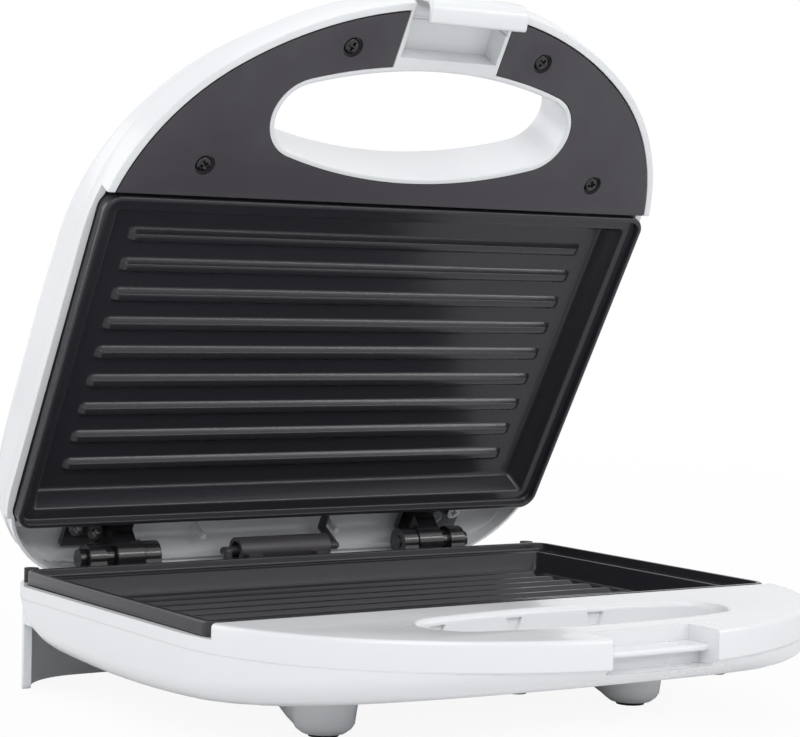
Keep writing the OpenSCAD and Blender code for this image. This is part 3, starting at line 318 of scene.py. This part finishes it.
def make_lid():
    lid = lid_solid(0, "lid_moulding")
    room = lid_solid(WALL, "lid_room")
    keeps = [prism(oval(LID_GRIP, GRIP_WALL, LID_GRIP_Y), -2, 60),
             block(-BAY_HALF - 1.2, BAY_HALF + 1.2, NOSE_Y - 1, -LID_GRIP_Y - LID_GRIP[1], -2, 60)]
    keeps += [round_post(x, y, BOSS_R, 2.2, 60) for x, y in COVER_SPOTS]
    keeps.append(block(-FAR, FAR, 1.0, 3.5, 6.8, 60))
    for side in (-1, 1):
        keeps += [round_post(side * x, y, BOSS_R, 13.5, 60) for x, y in ARM_SPOTS]
        keeps.append(round_post(side * SLEEVE_SPOT[0], SLEEVE_SPOT[1], 1.2, 9, 60))
    room = combine(room, keeps)
    cuts = [room, block(-FAR, FAR, DECK_Y, 60, -5, RIM_DROP),
            prism(plate_outline(-PLATE_GAP), -5, RIM_BLOCK_H + 0.3),
            flared_hole(LID_GRIP, LID_GRIP_Y, 0, 60, 0.8),
            block(-LATCH_W / 2, LATCH_W / 2, BAY_SLOT_Y - 1, BAY_BAR_Y, -1, 8),
            block(-BAY_HALF, BAY_HALF, NOSE_Y - 2, BAY_SLOT_Y, -1, LATCH_PIN_Z + 5.1)]
    for side in (-1, 1):
        cuts.append(round_post(side * LAMP_X, LAMP_Y, LAMP_HOLE_R, 10, 60))
    # the side rims end in a small step beside the plate's rear corners
    step = prism(lid_outline(-2), -1, BAND_LOW + 1.5)
    cuts.append(combine(step, [prism(lid_outline(1.5), -2, 20), block(-FAR, FAR, -260, -1.5, -2, 20)]))
    return settle(combine(lid, cuts), ON_LID)


# ---- base moulding ----

def base_solid(name):
    rings = [flat_ring(base_outline(i), z) for i, z in (
        (1.6, 0), (0.9, -0.13), (0.4, -0.4), (0.1, -0.95), (0, -1.6), (0, -BAND_LOW + 0.7),
        (0.06, -BAND_LOW + 0.25), (0.2, -BAND_LOW), (BAND_STEP * CREASE - 0.05, -BAND_LOW - 0.01))]
    for k in range(ROUND_STEPS + 1):
        inset, drop = edge_round(k, BASE_EDGE_W)
        ceiling = -BAND_LOW - 0.02 - 0.01 * k
        ring = base_outline(inset - BAND_STEP * (1 - CREASE) * (1 - k / ROUND_STEPS))
        rings.append([(x, y, min(belly_z(y) + drop, ceiling)) for x, y in ring])
    rings += towards_middle(ring, belly_z)
    return loft(rings, name)


def belly_room():
    """Room between the deck and the curved underside."""
    rings = [flat_ring(base_outline(RIM_IN), -WALL), flat_ring(base_outline(RIM_IN), -BAND_LOW)]
    for k in range(ROUND_STEPS + 1):
        inset, drop = edge_round(k, BASE_EDGE_W)
        ring = base_outline(inset + WALL)
        rings.append([(x, y, min(belly_z(y) + drop + WALL, -BAND_LOW - 0.01 - 0.01 * k)) for x, y in ring])
    rings += towards_middle(ring, lambda y: belly_z(y) + WALL)
    return loft(rings, "cutter")


def skirt_solid():
    outer = prism(base_outline(BAND_STEP), -STAND_H, -BAND_LOW + 0.5)
    inner = prism(base_outline(BAND_STEP + SKIRT_T), -STAND_H - 1, -BAND_LOW + 1)
    front = along_x([(-260, 1), (SKIRT_Y, 1)] + arc(SKIRT_Y + 2.5, -STAND_H + 2.5, 2.5, 180, 270, 10)
                    + [(SKIRT_Y + 2.5, -STAND_H), (SKIRT_Y + 2.5, -STAND_H - 1), (-260, -STAND_H - 1)], -FAR, FAR)
    arch = block(-62, 62, 0, 60, -STAND_H - 1, -STAND_H + 5)
    return combine(outer, [inner, front, arch])


def foot_solid(side):
    """A foot that narrows downwards and runs back into the underside."""
    low, top = -STAND_H + PAD_OUT, belly_z(-FOOT_Y) + 1.5
    heel_r = FOOT_D * 0.3
    rings = []
    for u in [0.0, 0.03, 0.1, 0.2, 0.35, 0.6, 0.8, 1.0]:
        z = low + (top - low) * u
        soft = 2.6 * (1 - sin(radians(min(u / 0.2, 1) * 90)))
        radius = FOOT_D / 2 + (FOOT_TOP_D - FOOT_D) / 2 * u - soft
        back = max((FOOT_D * 0.4 + (FOOT_TAIL - heel_r - FOOT_D * 0.4) * max(u - 0.06, 0) / 0.94) - soft, 0)
        tail_r = max(min(heel_r, radius) - soft * 0.6, 1.0)
        lean = degrees(atan2(radius - tail_r, max(back, 0.5))) if back > radius - tail_r else 60
        ring = arc(side * FOOT_X, -FOOT_Y, radius, -180 - lean, lean, 40)
        ring += arc(side * FOOT_X, -FOOT_Y + back, tail_r, lean, 180 - lean, 20)
        rings.append(flat_ring(ring, z))
    return loft(rings, "foot")


def make_base():
    base = base_solid("base_moulding")
    parts = [skirt_solid(), block(-BOX_HALF, BOX_HALF, BOX_FRONT, BOX_REAR, BOX_LOW, -BAND_LOW - 8),
             combine(prism(base_outline(BAND_STEP), -NOTCH_DEEP - WALL, -BAND_LOW - 0.5),
                     [block(-FAR, FAR, -260, -14, -60, 10)])]
    for side in (-1, 1):
        parts.append(foot_solid(side))
        wrap = [(radius, y) for radius, y in ((5, 18), (5, 31), (5.6, 31.4), (7.3, 31.6), (7.5, 32), (7.5, 33.6),
                                               (7.1, 34))]
        parts.append(loft([[(side * WRAP_X + r * cos(a), y, WRAP_Z + r * sin(a)) for a in full_turn(40)]
                           for r, y in wrap], "wrap_post"))
    base = combine(base, parts, "UNION")
    room = belly_room()
    keeps = [prism(oval(GRIP, GRIP_WALL, GRIP_Y), -60, 5),
             block(-FAR, FAR, DECK_Y - WALL, -PLATE_D - PLATE_GAP, -60, 5),
             block(-24.5, 24.5, NOSE_Y - 1, -190.5, -13.4, 5), block(-FAR, FAR, 1.0, 60, -60, 5)]
    room = combine(room, keeps)
    plate_room = prism(base_outline(RIM_IN), -BAND_LOW - 1, 2)
    plate_room = combine(plate_room, [block(-FAR, FAR, -260, -PLATE_D - PLATE_GAP, -60, 5),
                                      block(-FAR, FAR, 1.0, 60, -60, 5)])
    cuts = [block(-FAR, FAR, DECK_Y, 60, -RIM_DROP, 5), room, plate_room,
            prism(plate_outline(-PLATE_GAP), -RIM_BLOCK_H - 0.3, 5),
            block(WALL - BOX_HALF, BOX_HALF - WALL, BOX_FRONT + WALL, BOX_REAR - WALL, BOX_LOW - 1,
                  -NOTCH_DEEP - WALL),
            block(WALL - BOX_HALF, BOX_HALF - WALL, BOX_FRONT + WALL, 1, BOX_LOW - 1, -BAND_LOW - 8),
            block(-NOTCH_HALF, NOTCH_HALF, 3.5, 60, -NOTCH_DEEP, 1),
            block(-NOTCH_HALF, NOTCH_HALF, 0, 4.5, -6.8, 1),
            flared_hole(GRIP, GRIP_Y, 0, -60, 2.2)]
    # shallow pockets in the rear wall of the handle's opening
    for x in (-45, -12, 21):
        cuts.append(loft([[(x + u, grip_edge(x + u) - GRIP_Y + reach, z)
                           for u, z in ((-3.2, -2.6), (3.2, -2.6), (1.7, -6.8), (-1.7, -6.8))]
                          for reach in (-3, 1.2)], "cutter"))
    # underside recess that the handle's lower cover closes
    recess = prism(base_outline(BAND_STEP + EDGE_W + 1), -60, -7)
    top_of_recess = along_x([(y, belly_z(y) + WALL + 0.7) for y in range(-230, -130, 5)]
                            + [(-131, 5), (-230, 5)], -FAR, FAR)
    recess = combine(recess, [top_of_recess, block(-FAR, FAR, DECK_Y - WALL - 3, 60, -80, 10),
                              prism(oval(GRIP, GRIP_WALL, GRIP_Y), -70, 10)])
    cuts.append(recess)
    # notch for the latch: open front, ledge and the groove under it
    cuts += [block(-CATCH_HALF, CATCH_HALF, NOSE_Y - 1, y, z0, z1)
             for y, z0, z1 in ((-200.5, -5, 1), (LEDGE_Y, -11.4, 1), (-205.6, -11.4, -7.1))]
    cuts.append(round_post(-25, HINGE_Y - 3, 2.1, -20, 0, count=24))
    cuts.append(loft([[(GLAND_R * cos(a) * GLAND_FIT, y, GLAND_Z + GLAND_R * sin(a) * GLAND_FIT)
                       for a in full_turn(32)] for y in (14, 24)], "cutter"))
    base = combine(base, cuts)
    lip = loft([[(x, LEDGE_Y + LIP_R * cos(a), -6.05 + LIP_R * sin(a)) for a in full_turn(24)]
                for x in (-CATCH_HALF, CATCH_HALF)], "ledge_lip")
    base = combine(base, [lip], "UNION")
    return settle(base, ON_BASE)


# ---- cooking plates ----

def plate_rings():
    """(inset, z) pairs from the underside round the rim and down to the floor."""
    rings = [(TUB_IN + 1.2, -TUB_DEEP), (TUB_IN + 0.3, -TUB_DEEP + 0.3), (TUB_IN, -TUB_DEEP + 1.2),
             (TUB_IN, -RIM_BLOCK_H), (0.5, -RIM_BLOCK_H), (0.12, -RIM_BLOCK_H + 0.12), (0, -RIM_BLOCK_H + 0.5)]
    for k in range(7):
        t = radians(90 * k / 6)
        rings.append((0.8 * (1 - cos(t)), -0.8 + 0.8 * sin(t)))
    for k in range(5):
        t = radians(90 * k / 4)
        rings.append((LIP_W - 0.5 + 0.5 * sin(t), -0.5 + 0.5 * cos(t)))
    for k in range(5):
        t = radians(90 * k / 4)
        rings.append((LIP_W + 0.8 * (1 - cos(t)), -LEDGE_DEPTH + 0.8 - 0.8 * sin(t)))
    edge = LIP_W + LEDGE_W
    for u, v in ((-0.9, 0), (-0.45, 0.08), (-0.1, 0.3), (0.2, 0.8)):
        rings.append((edge + u, -LEDGE_DEPTH - v))
    for u, v in ((-0.35, 1.6), (-0.1, 0.9), (0.3, 0.45), (1.0, 0.1), (1.8, 0)):
        rings.append((edge + SLOPE_RUN + u, -FLOOR_DEPTH + v))
    return rings


def rib_solid(y):
    """One rib with a flat crest, small round edges and sloping ends."""
    half_foot, half_crest = RIB_FOOT / 2, RIB_CREST / 2
    section = [(-half_foot - 0.9, -0.3), (-half_foot - 0.1, 0.02), (-half_foot + 0.2, 0.3)]
    section += [(-half_crest - 0.1, RIB_H - 0.3), (-half_crest, RIB_H - 0.1), (-half_crest + 0.2, RIB_H)]
    section += [(-u, v) for u, v in section[::-1]]
    rings = []
    for x, low in ((RIB_LEN / 2 + 0.4, RIB_H), (RIB_LEN / 2 - 0.2, RIB_H - 0.35), (RIB_LEN / 2 - 1.3, 0.5),
                   (RIB_LEN / 2 - 1.9, 0.12), (RIB_LEN / 2 - 2.8, 0)):
        left = 1 - low / RIB_H
        rings.append([(x, y + u * (1 - 0.12 * low / RIB_H), -FLOOR_DEPTH + (v * left if v > 0 else v) - 0.02)
                      for u, v in section])
    rings += [[(-x, yy, z) for x, yy, z in ring] for ring in rings[::-1]]
    return loft(rings, "rib")


def make_plate(name, place, face_down):
    tray = loft([flat_ring(plate_outline(inset, TUB_R if z <= -RIM_BLOCK_H and i < 4 else None), z)
                 for i, (inset, z) in enumerate(plate_rings())], name)
    span = (RIB_COUNT - 1) * RIB_PITCH
    pieces = [tray] + [rib_solid(-PLATE_D / 2 - span / 2 + i * RIB_PITCH) for i in range(RIB_COUNT)]
    plate = join(name, pieces)
    flip = Matrix.Scale(-1, 4, (0, 0, 1)) if face_down else Matrix.Identity(4)
    settle(plate, place @ flip, 40)
    if face_down:
        plate.data.flip_normals()
    return plate


# ---- latch ----

def latch_profile():
    """Side view of the latch about its pin: barrel, curved wall and hook."""
    low, front = -LATCH_PIN_Z - LATCH_DEEP, -5.9
    outer = [(-0.6, 3.2), (-2.4, 3.0), (-4.0, 2.2), (-5.2, 0.9), (-5.85, -1.0), (front, -3.2), (front, -6.5)]
    outer += arc(front + 4.6, low + 4.6, 4.6, 180, 270, 12)
    outer += [(front + 4.6, low), (front + 7.7, low)] + arc(front + 7.7, low + 1.1, 1.1, -90, 90, 6)
    inner = [(front + 7.7, low + 2.2), (front + 4.6, low + 2.2)] + arc(front + 4.6, low + 4.6, 2.4, 270, 180, 8)
    inner += [(front + 2.2, low + 4.8), (front + 2.2, -3.0), (-3.0, -1.6)]
    barrel = arc(0, 0, 3.2, 215, 450, 16)
    return outer + inner + barrel


def make_latch():
    profile = latch_profile()
    half = LATCH_W / 2
    rings = []
    for x, shrink in ((-half, 0.35), (-half + 0.12, 0.1), (-half + 0.4, 0), (half - 0.4, 0), (half - 0.12, 0.1),
                      (half, 0.35)):
        rings.append([(x, y, z) for y, z in inset_loop(profile, shrink)])
    latch = loft(rings, "latch_flap")
    return settle(latch, ON_LATCH, 40)


def inset_loop(points, amount):
    """Moves a counter-clockwise or clockwise loop inwards by a small amount."""
    if not amount:
        return points
    area = sum(a[0] * b[1] - b[0] * a[1] for a, b in zip(points, points[1:] + points[:1]))
    sign = 1 if area > 0 else -1
    moved = []
    for i, p in enumerate(points):
        a, b = Vector(points[i - 1]), Vector(points[(i + 1) % len(points)])
        way = (b - a)
        if way.length < 1e-6:
            moved.append(p)
            continue
        way.normalize()
        moved.append((p[0] - way.y * amount * sign, p[1] + way.x * amount * sign))
    return moved


# ---- screws ----

def cross_screw(x, y, z, up, turn, head_r=2.9, head_h=1.2):
    """A round head with a cross recess. Its top is at z and looks away from up."""
    profile = [(0.02, 0), (head_r * 0.45, 0.03), (head_r * 0.72, 0.13), (head_r * 0.9, 0.36), (head_r * 0.985, 0.68),
               (head_r, head_h)]
    rings = [[(r * cos(a), r * sin(a), up * h) for a in full_turn(40)] for r, h in profile]
    head = loft(rings, "screw_head")
    cutters = []
    for quarter in (0, 90):
        wide, deep = head_r * 0.64, 1.0
        rings = []
        for h, grow in ((-0.3, 1.12), (0.0, 1.0), (deep, 0.45)):
            a, b = wide * grow, 0.56 * grow
            corner = [(-a, -b), (a, -b), (a, b), (-a, b)]
            rings.append([(u * cos(radians(turn + quarter)) - v * sin(radians(turn + quarter)),
                           u * sin(radians(turn + quarter)) + v * cos(radians(turn + quarter)), up * h)
                          for u, v in corner])
        cutters.append(loft(rings, "cutter"))
    head = combine(head, cutters)
    head.data.transform(Matrix.Translation((x, y, z)))
    return head


def make_cover_screws():
    heads = [cross_screw(x, y, 0.3, 1, turn) for (x, y), turn in zip(COVER_SPOTS, (18, 62, 40, 75))]
    return settle(join("cover_screw_heads", heads), ON_LID, 35)


# ---- shader groups ----

def new_group(name, sockets_in, sockets_out):
    group = bpy.data.node_groups.new(name, "ShaderNodeTree")
    for label, kind, value in sockets_in:
        socket = group.interface.new_socket(name=label, in_out="INPUT", socket_type=kind)
        if value is not None:
            socket.default_value = value
    for label, kind in sockets_out:
        group.interface.new_socket(name=label, in_out="OUTPUT", socket_type=kind)
    return group, group.nodes.new("NodeGroupInput"), group.nodes.new("NodeGroupOutput")


def moulded_grain_group():
    """Fine moulding texture over softly rounded edges: a normal and a slow mottle."""
    group, start, end = new_group(
        "moulded_grain", [("Grain Scale", "NodeSocketFloat", 2500.0), ("Grain Depth", "NodeSocketFloat", 0.00002),
                          ("Edge Radius", "NodeSocketFloat", 0.0004), ("Mottle Scale", "NodeSocketFloat", 60.0)],
        [("Normal", "NodeSocketVector"), ("Mottle", "NodeSocketFloat")])
    place = group.nodes.new("ShaderNodeTexCoord")
    grain, mottle = group.nodes.new("ShaderNodeTexNoise"), group.nodes.new("ShaderNodeTexNoise")
    grain.inputs["Detail"].default_value = 2.0
    mottle.inputs["Detail"].default_value = 4.0
    edge, bump = group.nodes.new("ShaderNodeBevel"), group.nodes.new("ShaderNodeBump")
    edge.samples = 4
    bump.inputs["Strength"].default_value = 1.0
    link = group.links.new
    link(place.outputs["Object"], grain.inputs["Vector"])
    link(place.outputs["Object"], mottle.inputs["Vector"])
    link(start.outputs["Grain Scale"], grain.inputs["Scale"])
    link(start.outputs["Mottle Scale"], mottle.inputs["Scale"])
    link(start.outputs["Edge Radius"], edge.inputs["Radius"])
    link(start.outputs["Grain Depth"], bump.inputs["Distance"])
    link(grain.outputs["Fac"], bump.inputs["Height"])
    link(edge.outputs["Normal"], bump.inputs["Normal"])
    link(bump.outputs["Normal"], end.inputs["Normal"])
    link(mottle.outputs["Fac"], end.inputs["Mottle"])
    return group


def wear_mask_group():
    """Light rubbing: high on raised edges and in thin patches."""
    group, start, end = new_group(
        "rubbed_edges", [("Patch Scale", "NodeSocketFloat", 120.0), ("Reach", "NodeSocketFloat", 0.56)],
        [("Mask", "NodeSocketFloat")])
    shape, place = group.nodes.new("ShaderNodeNewGeometry"), group.nodes.new("ShaderNodeTexCoord")
    patch = group.nodes.new("ShaderNodeTexNoise")
    patch.inputs["Detail"].default_value = 5.0
    raised, both = group.nodes.new("ShaderNodeMapRange"), group.nodes.new("ShaderNodeMath")
    raised.inputs["From Max"].default_value = 0.75
    both.operation = "MULTIPLY"
    link = group.links.new
    link(place.outputs["Object"], patch.inputs["Vector"])
    link(start.outputs["Patch Scale"], patch.inputs["Scale"])
    link(start.outputs["Reach"], raised.inputs["From Min"])
    link(shape.outputs["Pointiness"], raised.inputs["Value"])
    link(raised.outputs["Result"], both.inputs[0])
    link(patch.outputs["Fac"], both.inputs[1])
    link(both.outputs["Value"], end.inputs["Mask"])
    return group


GRAIN, WEAR = moulded_grain_group(), wear_mask_group()


def finish_material(name, light, dark, rough, grain=(2500.0, 0.00002, 0.0004, 60.0), metallic=0.0, worn=None,
                    coat=0.0, specular=0.5, wear_reach=0.56):
    """A mottled, grained finish. light and dark are its two colours, rough the range of its roughness."""
    material = bpy.data.materials.new(name)
    material.use_nodes = True
    nodes, link = material.node_tree.nodes, material.node_tree.links.new
    shader = nodes["Principled BSDF"]
    shader.inputs["Metallic"].default_value = metallic
    shader.inputs["Coat Weight"].default_value = coat
    shader.inputs["Coat Roughness"].default_value = 0.06
    shader.inputs["Specular IOR Level"].default_value = specular
    surface = nodes.new("ShaderNodeGroup")
    surface.node_tree = GRAIN
    for label, value in zip(("Grain Scale", "Grain Depth", "Edge Radius", "Mottle Scale"), grain):
        surface.inputs[label].default_value = value
    tone = nodes.new("ShaderNodeMix")
    tone.data_type = "RGBA"
    tone.inputs["A"].default_value = (*dark, 1)
    tone.inputs["B"].default_value = (*light, 1)
    gloss = nodes.new("ShaderNodeMapRange")
    gloss.inputs["From Min"].default_value, gloss.inputs["From Max"].default_value = 0.3, 0.7
    gloss.inputs["To Min"].default_value, gloss.inputs["To Max"].default_value = rough
    link(surface.outputs["Mottle"], tone.inputs["Factor"])
    link(surface.outputs["Mottle"], gloss.inputs["Value"])
    link(surface.outputs["Normal"], shader.inputs["Normal"])
    link(gloss.outputs["Result"], shader.inputs["Roughness"])
    colour = tone.outputs["Result"]
    if worn:
        rubbed, over = nodes.new("ShaderNodeGroup"), nodes.new("ShaderNodeMix")
        rubbed.node_tree = WEAR
        rubbed.inputs["Reach"].default_value = wear_reach
        over.data_type = "RGBA"
        over.inputs["B"].default_value = (*worn, 1)
        link(rubbed.outputs["Mask"], over.inputs["Factor"])
        link(colour, over.inputs["A"])
        colour = over.outputs["Result"]
    link(colour, shader.inputs["Base Color"])
    return material


def lens_material(name, deep, pale):
    material = finish_material(name, pale, deep, (0.08, 0.16), (900.0, 0.00001, 0.0003, 300.0), coat=0.6)
    material.node_tree.nodes["Principled BSDF"].inputs["Transmission Weight"].default_value = 0.35
    return material


def sleeve_material():
    """Woven glass sleeve: two crossed wave patterns."""
    material = finish_material("woven_glass_sleeve", (0.82, 0.8, 0.72), (0.7, 0.67, 0.58), (0.6, 0.8))
    nodes, link = material.node_tree.nodes, material.node_tree.links.new
    place, bump = nodes.new("ShaderNodeTexCoord"), nodes.new("ShaderNodeBump")
    total = nodes.new("ShaderNodeMath")
    total.operation = "MAXIMUM"
    for i, direction in enumerate(("X", "DIAGONAL")):
        wave = nodes.new("ShaderNodeTexWave")
        wave.bands_direction = direction
        wave.inputs["Scale"].default_value = 900.0
        link(place.outputs["Object"], wave.inputs["Vector"])
        link(wave.outputs["Fac"], total.inputs[i])
    bump.inputs["Distance"].default_value = 0.0002
    link(total.outputs["Value"], bump.inputs["Height"])
    link(bump.outputs["Normal"], nodes["Principled BSDF"].inputs["Normal"])
    return material


FINISHES = {
    "white_gloss": finish_material("white_gloss_plastic", (0.82, 0.83, 0.84), (0.79, 0.8, 0.815), (0.2, 0.28),
                                   (1800.0, 0.000004, 0.0005, 25.0), coat=0.15),
    "black_satin": finish_material("black_satin_plastic", (0.046, 0.04, 0.05), (0.038, 0.033, 0.042), (0.4, 0.5),
                                   (2600.0, 0.00003, 0.0003, 45.0), worn=(0.09, 0.09, 0.095)),
    "coating": finish_material("dark_plate_coating", (0.03, 0.0285, 0.035), (0.022, 0.021, 0.026), (0.17, 0.24),
                               (1600.0, 0.00002, 0.0003, 900.0), worn=(0.045, 0.045, 0.05), specular=0.44),
    "black_screw": finish_material("blackened_steel", (0.011, 0.011, 0.012), (0.006, 0.006, 0.006), (0.14, 0.22),
                                   (1500.0, 0.00001, 0.00015, 400.0), metallic=0.3, worn=(0.08, 0.08, 0.08),
                                   coat=0.5),
    "zinc": finish_material("zinc_plated_steel", (0.62, 0.62, 0.63), (0.45, 0.46, 0.48), (0.25, 0.42),
                            (1200.0, 0.00001, 0.0002, 260.0), metallic=1.0),
    "heater": finish_material("oxidised_heater_tube", (0.16, 0.15, 0.14), (0.07, 0.075, 0.08), (0.4, 0.6),
                              (900.0, 0.00002, 0.0002, 180.0), metallic=0.9),
    "ceramic": finish_material("glazed_ceramic", (0.82, 0.8, 0.74), (0.74, 0.71, 0.64), (0.15, 0.3),
                               (900.0, 0.00001, 0.0003, 150.0), coat=0.4),
    "reflector": finish_material("rolled_aluminium", (0.78, 0.79, 0.8), (0.66, 0.67, 0.69), (0.22, 0.38),
                                 (700.0, 0.00001, 0.0002, 90.0), metallic=1.0),
    "bracket": finish_material("black_coated_bracket", (0.014, 0.014, 0.016), (0.008, 0.008, 0.01), (0.16, 0.28),
                               (1100.0, 0.00002, 0.0005, 300.0), worn=(0.05, 0.05, 0.053), coat=0.5),
    "rubber": finish_material("black_rubber", (0.03, 0.03, 0.03), (0.02, 0.02, 0.02), (0.7, 0.85),
                              (1500.0, 0.00003, 0.0005, 200.0)),
    "terminal": finish_material("cream_terminal_plastic", (0.78, 0.75, 0.68), (0.7, 0.67, 0.6), (0.35, 0.5)),
    "thermostat": finish_material("brown_thermostat_body", (0.1, 0.06, 0.04), (0.06, 0.035, 0.025), (0.35, 0.5)),
    "sleeve": sleeve_material(),
    "wire": finish_material("silicone_wire", (0.05, 0.05, 0.055), (0.035, 0.035, 0.04), (0.4, 0.55)),
    "red_lens": lens_material("red_lens", (0.45, 0.01, 0.01), (0.75, 0.05, 0.03)),
    "green_lens": lens_material("green_lens", (0.02, 0.3, 0.07), (0.08, 0.55, 0.16)),
}

NODE_FINISH = {
    "white_gloss": ["base_shell", "base_handle_cover", "wiring_cover", "lid_shell", "latch"],
    "black_satin": ["lid_handle_cover", "cord_gland", "wire_sleeve"],
    "coating": ["lower_plate", "upper_plate"],
    "black_screw": ["base_cover_screws", "cover_screws"],
    "zinc": ["wiring_cover_screws", "lower_plate_screws", "upper_plate_screws", "lower_straps", "upper_straps",
             "lower_strap_screws", "upper_strap_screws", "hinge_base_screws", "hinge_lid_screws", "latch_pin"],
    "heater": ["lower_heater", "upper_heater"],
    "ceramic": ["lower_heater_ends", "upper_heater_ends"],
    "reflector": ["lower_reflector", "upper_reflector"],
    "bracket": ["hinge_base_brackets", "hinge_lid_brackets", "hinge_pins"],
    "rubber": ["rubber_feet", "rear_stops"],
    "terminal": ["terminal_block", "lamp_holder"],
    "thermostat": ["thermostat"],
    "sleeve": ["thermal_fuse"],
    "wire": ["base_wires", "lid_wires"],
    "red_lens": ["power_lens"],
    "green_lens": ["ready_lens"],
}


def dress(piece, finish):
    piece.data.materials.clear()
    piece.data.materials.append(FINISHES[finish])


def stand_for(piece, finish, body, slot, *nodes):
    dress(piece, finish)
    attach(piece, body)
    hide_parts(*nodes)


for finish, names in NODE_FINISH.items():
    for name in names:
        dress(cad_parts[name], finish)

stand_for(make_lid(), "white_gloss", "lid", "white_moulding", "lid_shell")
stand_for(make_base(), "white_gloss", "base", "white_moulding", "base_shell")
stand_for(make_plate("lower_cooking_plate", ON_BASE, False), "coating", "base", "coated_plates", "lower_plate")
stand_for(make_plate("upper_cooking_plate", ON_LID, True), "coating", "lid", "coated_plates", "upper_plate")
stand_for(make_latch(), "white_gloss", "latch", "white_moulding", "latch")
stand_for(make_cover_screws(), "black_screw", "lid", "black_screws", "cover_screws")


# ---- studio ----

def studio_material(name, colour, glow):
    """A floor that keeps shadows on what light falls on it and shows pale to the eye and in reflections."""
    material = bpy.data.materials.new(name)
    material.use_nodes = True
    nodes, link = material.node_tree.nodes, material.node_tree.links.new
    shader = nodes["Principled BSDF"]
    shader.inputs["Base Color"].default_value = (*colour, 1)
    shader.inputs["Roughness"].default_value = 0.9
    shader.inputs["Specular IOR Level"].default_value = 0.0
    light, seen = nodes.new("ShaderNodeLightPath"), nodes.new("ShaderNodeMath")
    shine, blend = nodes.new("ShaderNodeEmission"), nodes.new("ShaderNodeMixShader")
    place, away, fade = (nodes.new("ShaderNodeTexCoord"), nodes.new("ShaderNodeVectorMath"),
                         nodes.new("ShaderNodeMapRange"))
    away.operation, seen.operation = "LENGTH", "MULTIPLY"
    fade.inputs["From Min"].default_value, fade.inputs["From Max"].default_value = 0.25, 1.3
    fade.inputs["To Min"].default_value, fade.inputs["To Max"].default_value = glow, 1.0
    link(place.outputs["Object"], away.inputs[0])
    link(away.outputs["Value"], fade.inputs["Value"])
    link(fade.outputs["Result"], seen.inputs[1])
    link(light.outputs["Is Camera Ray"], seen.inputs[0])
    link(seen.outputs["Value"], blend.inputs["Fac"])
    link(shader.outputs["BSDF"], blend.inputs[1])
    link(shine.outputs["Emission"], blend.inputs[2])
    link(blend.outputs["Shader"], nodes["Material Output"].inputs["Surface"])
    return material


def make_floor():
    bm = bmesh.new()
    bmesh.ops.create_grid(bm, x_segments=8, y_segments=8, size=4.0)
    floor = finish_mesh(bm, "studio_floor")
    floor.data.materials.append(studio_material("studio_floor_white", (0.92, 0.92, 0.92), 0.92))


def make_world():
    world = bpy.data.worlds.new("studio_world")
    bpy.context.scene.world = world
    world.use_nodes = True
    nodes, link = world.node_tree.nodes, world.node_tree.links.new
    light, either, way = (nodes.new("ShaderNodeLightPath"), nodes.new("ShaderNodeMath"), nodes.new("ShaderNodeMath"))
    either.operation = way.operation = "MAXIMUM"
    link(light.outputs["Is Camera Ray"], either.inputs[0])
    link(light.outputs["Is Transmission Ray"], either.inputs[1])
    mix = nodes.new("ShaderNodeMix")
    mix.data_type = "RGBA"
    mix.inputs["A"].default_value = (0.5, 0.51, 0.525, 1)
    mix.inputs["B"].default_value = (1, 1, 1, 1)
    link(either.outputs["Value"], way.inputs[0])
    link(light.outputs["Is Glossy Ray"], way.inputs[1])
    link(way.outputs["Value"], mix.inputs["Factor"])
    link(mix.outputs["Result"], nodes["Background"].inputs["Color"])


def soft_light(name, spot, aim, size, power):
    data = bpy.data.lights.new(name, "AREA")
    data.shape, data.size, data.size_y, data.energy = "RECTANGLE", size[0], size[1], power
    lamp = bpy.data.objects.new(name, data)
    lamp.location = spot
    lamp.rotation_mode = "QUATERNION"
    lamp.rotation_quaternion = (Vector(aim) - Vector(spot)).to_track_quat("-Z", "Y")
    bpy.context.scene.collection.objects.link(lamp)


def make_camera():
    """Front left, just above the table, turned slightly about its own axis."""
    turn, rise, roll = radians(-33.95), radians(2.34), radians(1.45)
    back = Vector((sin(turn) * cos(rise), -cos(turn) * cos(rise), sin(rise)))
    right = (-back).cross(Vector((0, 0, 1))).normalized()
    up = right.cross(-back)
    side = cos(roll) * right + sin(roll) * up
    head = cos(roll) * up - sin(roll) * right
    data = bpy.data.cameras.new("studio_camera")
    data.lens, data.sensor_width = 105.74, 36.0
    data.clip_start, data.clip_end = 0.05, 50.0
    camera = bpy.data.objects.new("studio_camera", data)
    place = Matrix((side, head, back)).transposed().to_4x4()
    place.translation = (-0.46759, -0.66910, 0.15028)
    camera.matrix_world = place
    bpy.context.scene.collection.objects.link(camera)
    bpy.context.scene.camera = camera


make_floor()
make_world()
soft_light("key_light", (-1.0, -1.3, 1.4), (0, 0, 0.1), (1.2, 1.2), 14)
soft_light("rib_light", (1.15, -1.4, 0.9), (0, 0, 0.1), (2.6, 0.16), 10)
soft_light("top_light", (0.1, 0.0, 1.8), (0, 0, 0.1), (1.4, 1.4), 6)
soft_light("side_light", (-1.2, 0.9, 0.5), (0, 0, 0.1), (1.0, 1.0), 5)
make_camera()
bpy.context.scene.view_settings.view_transform = "Standard"
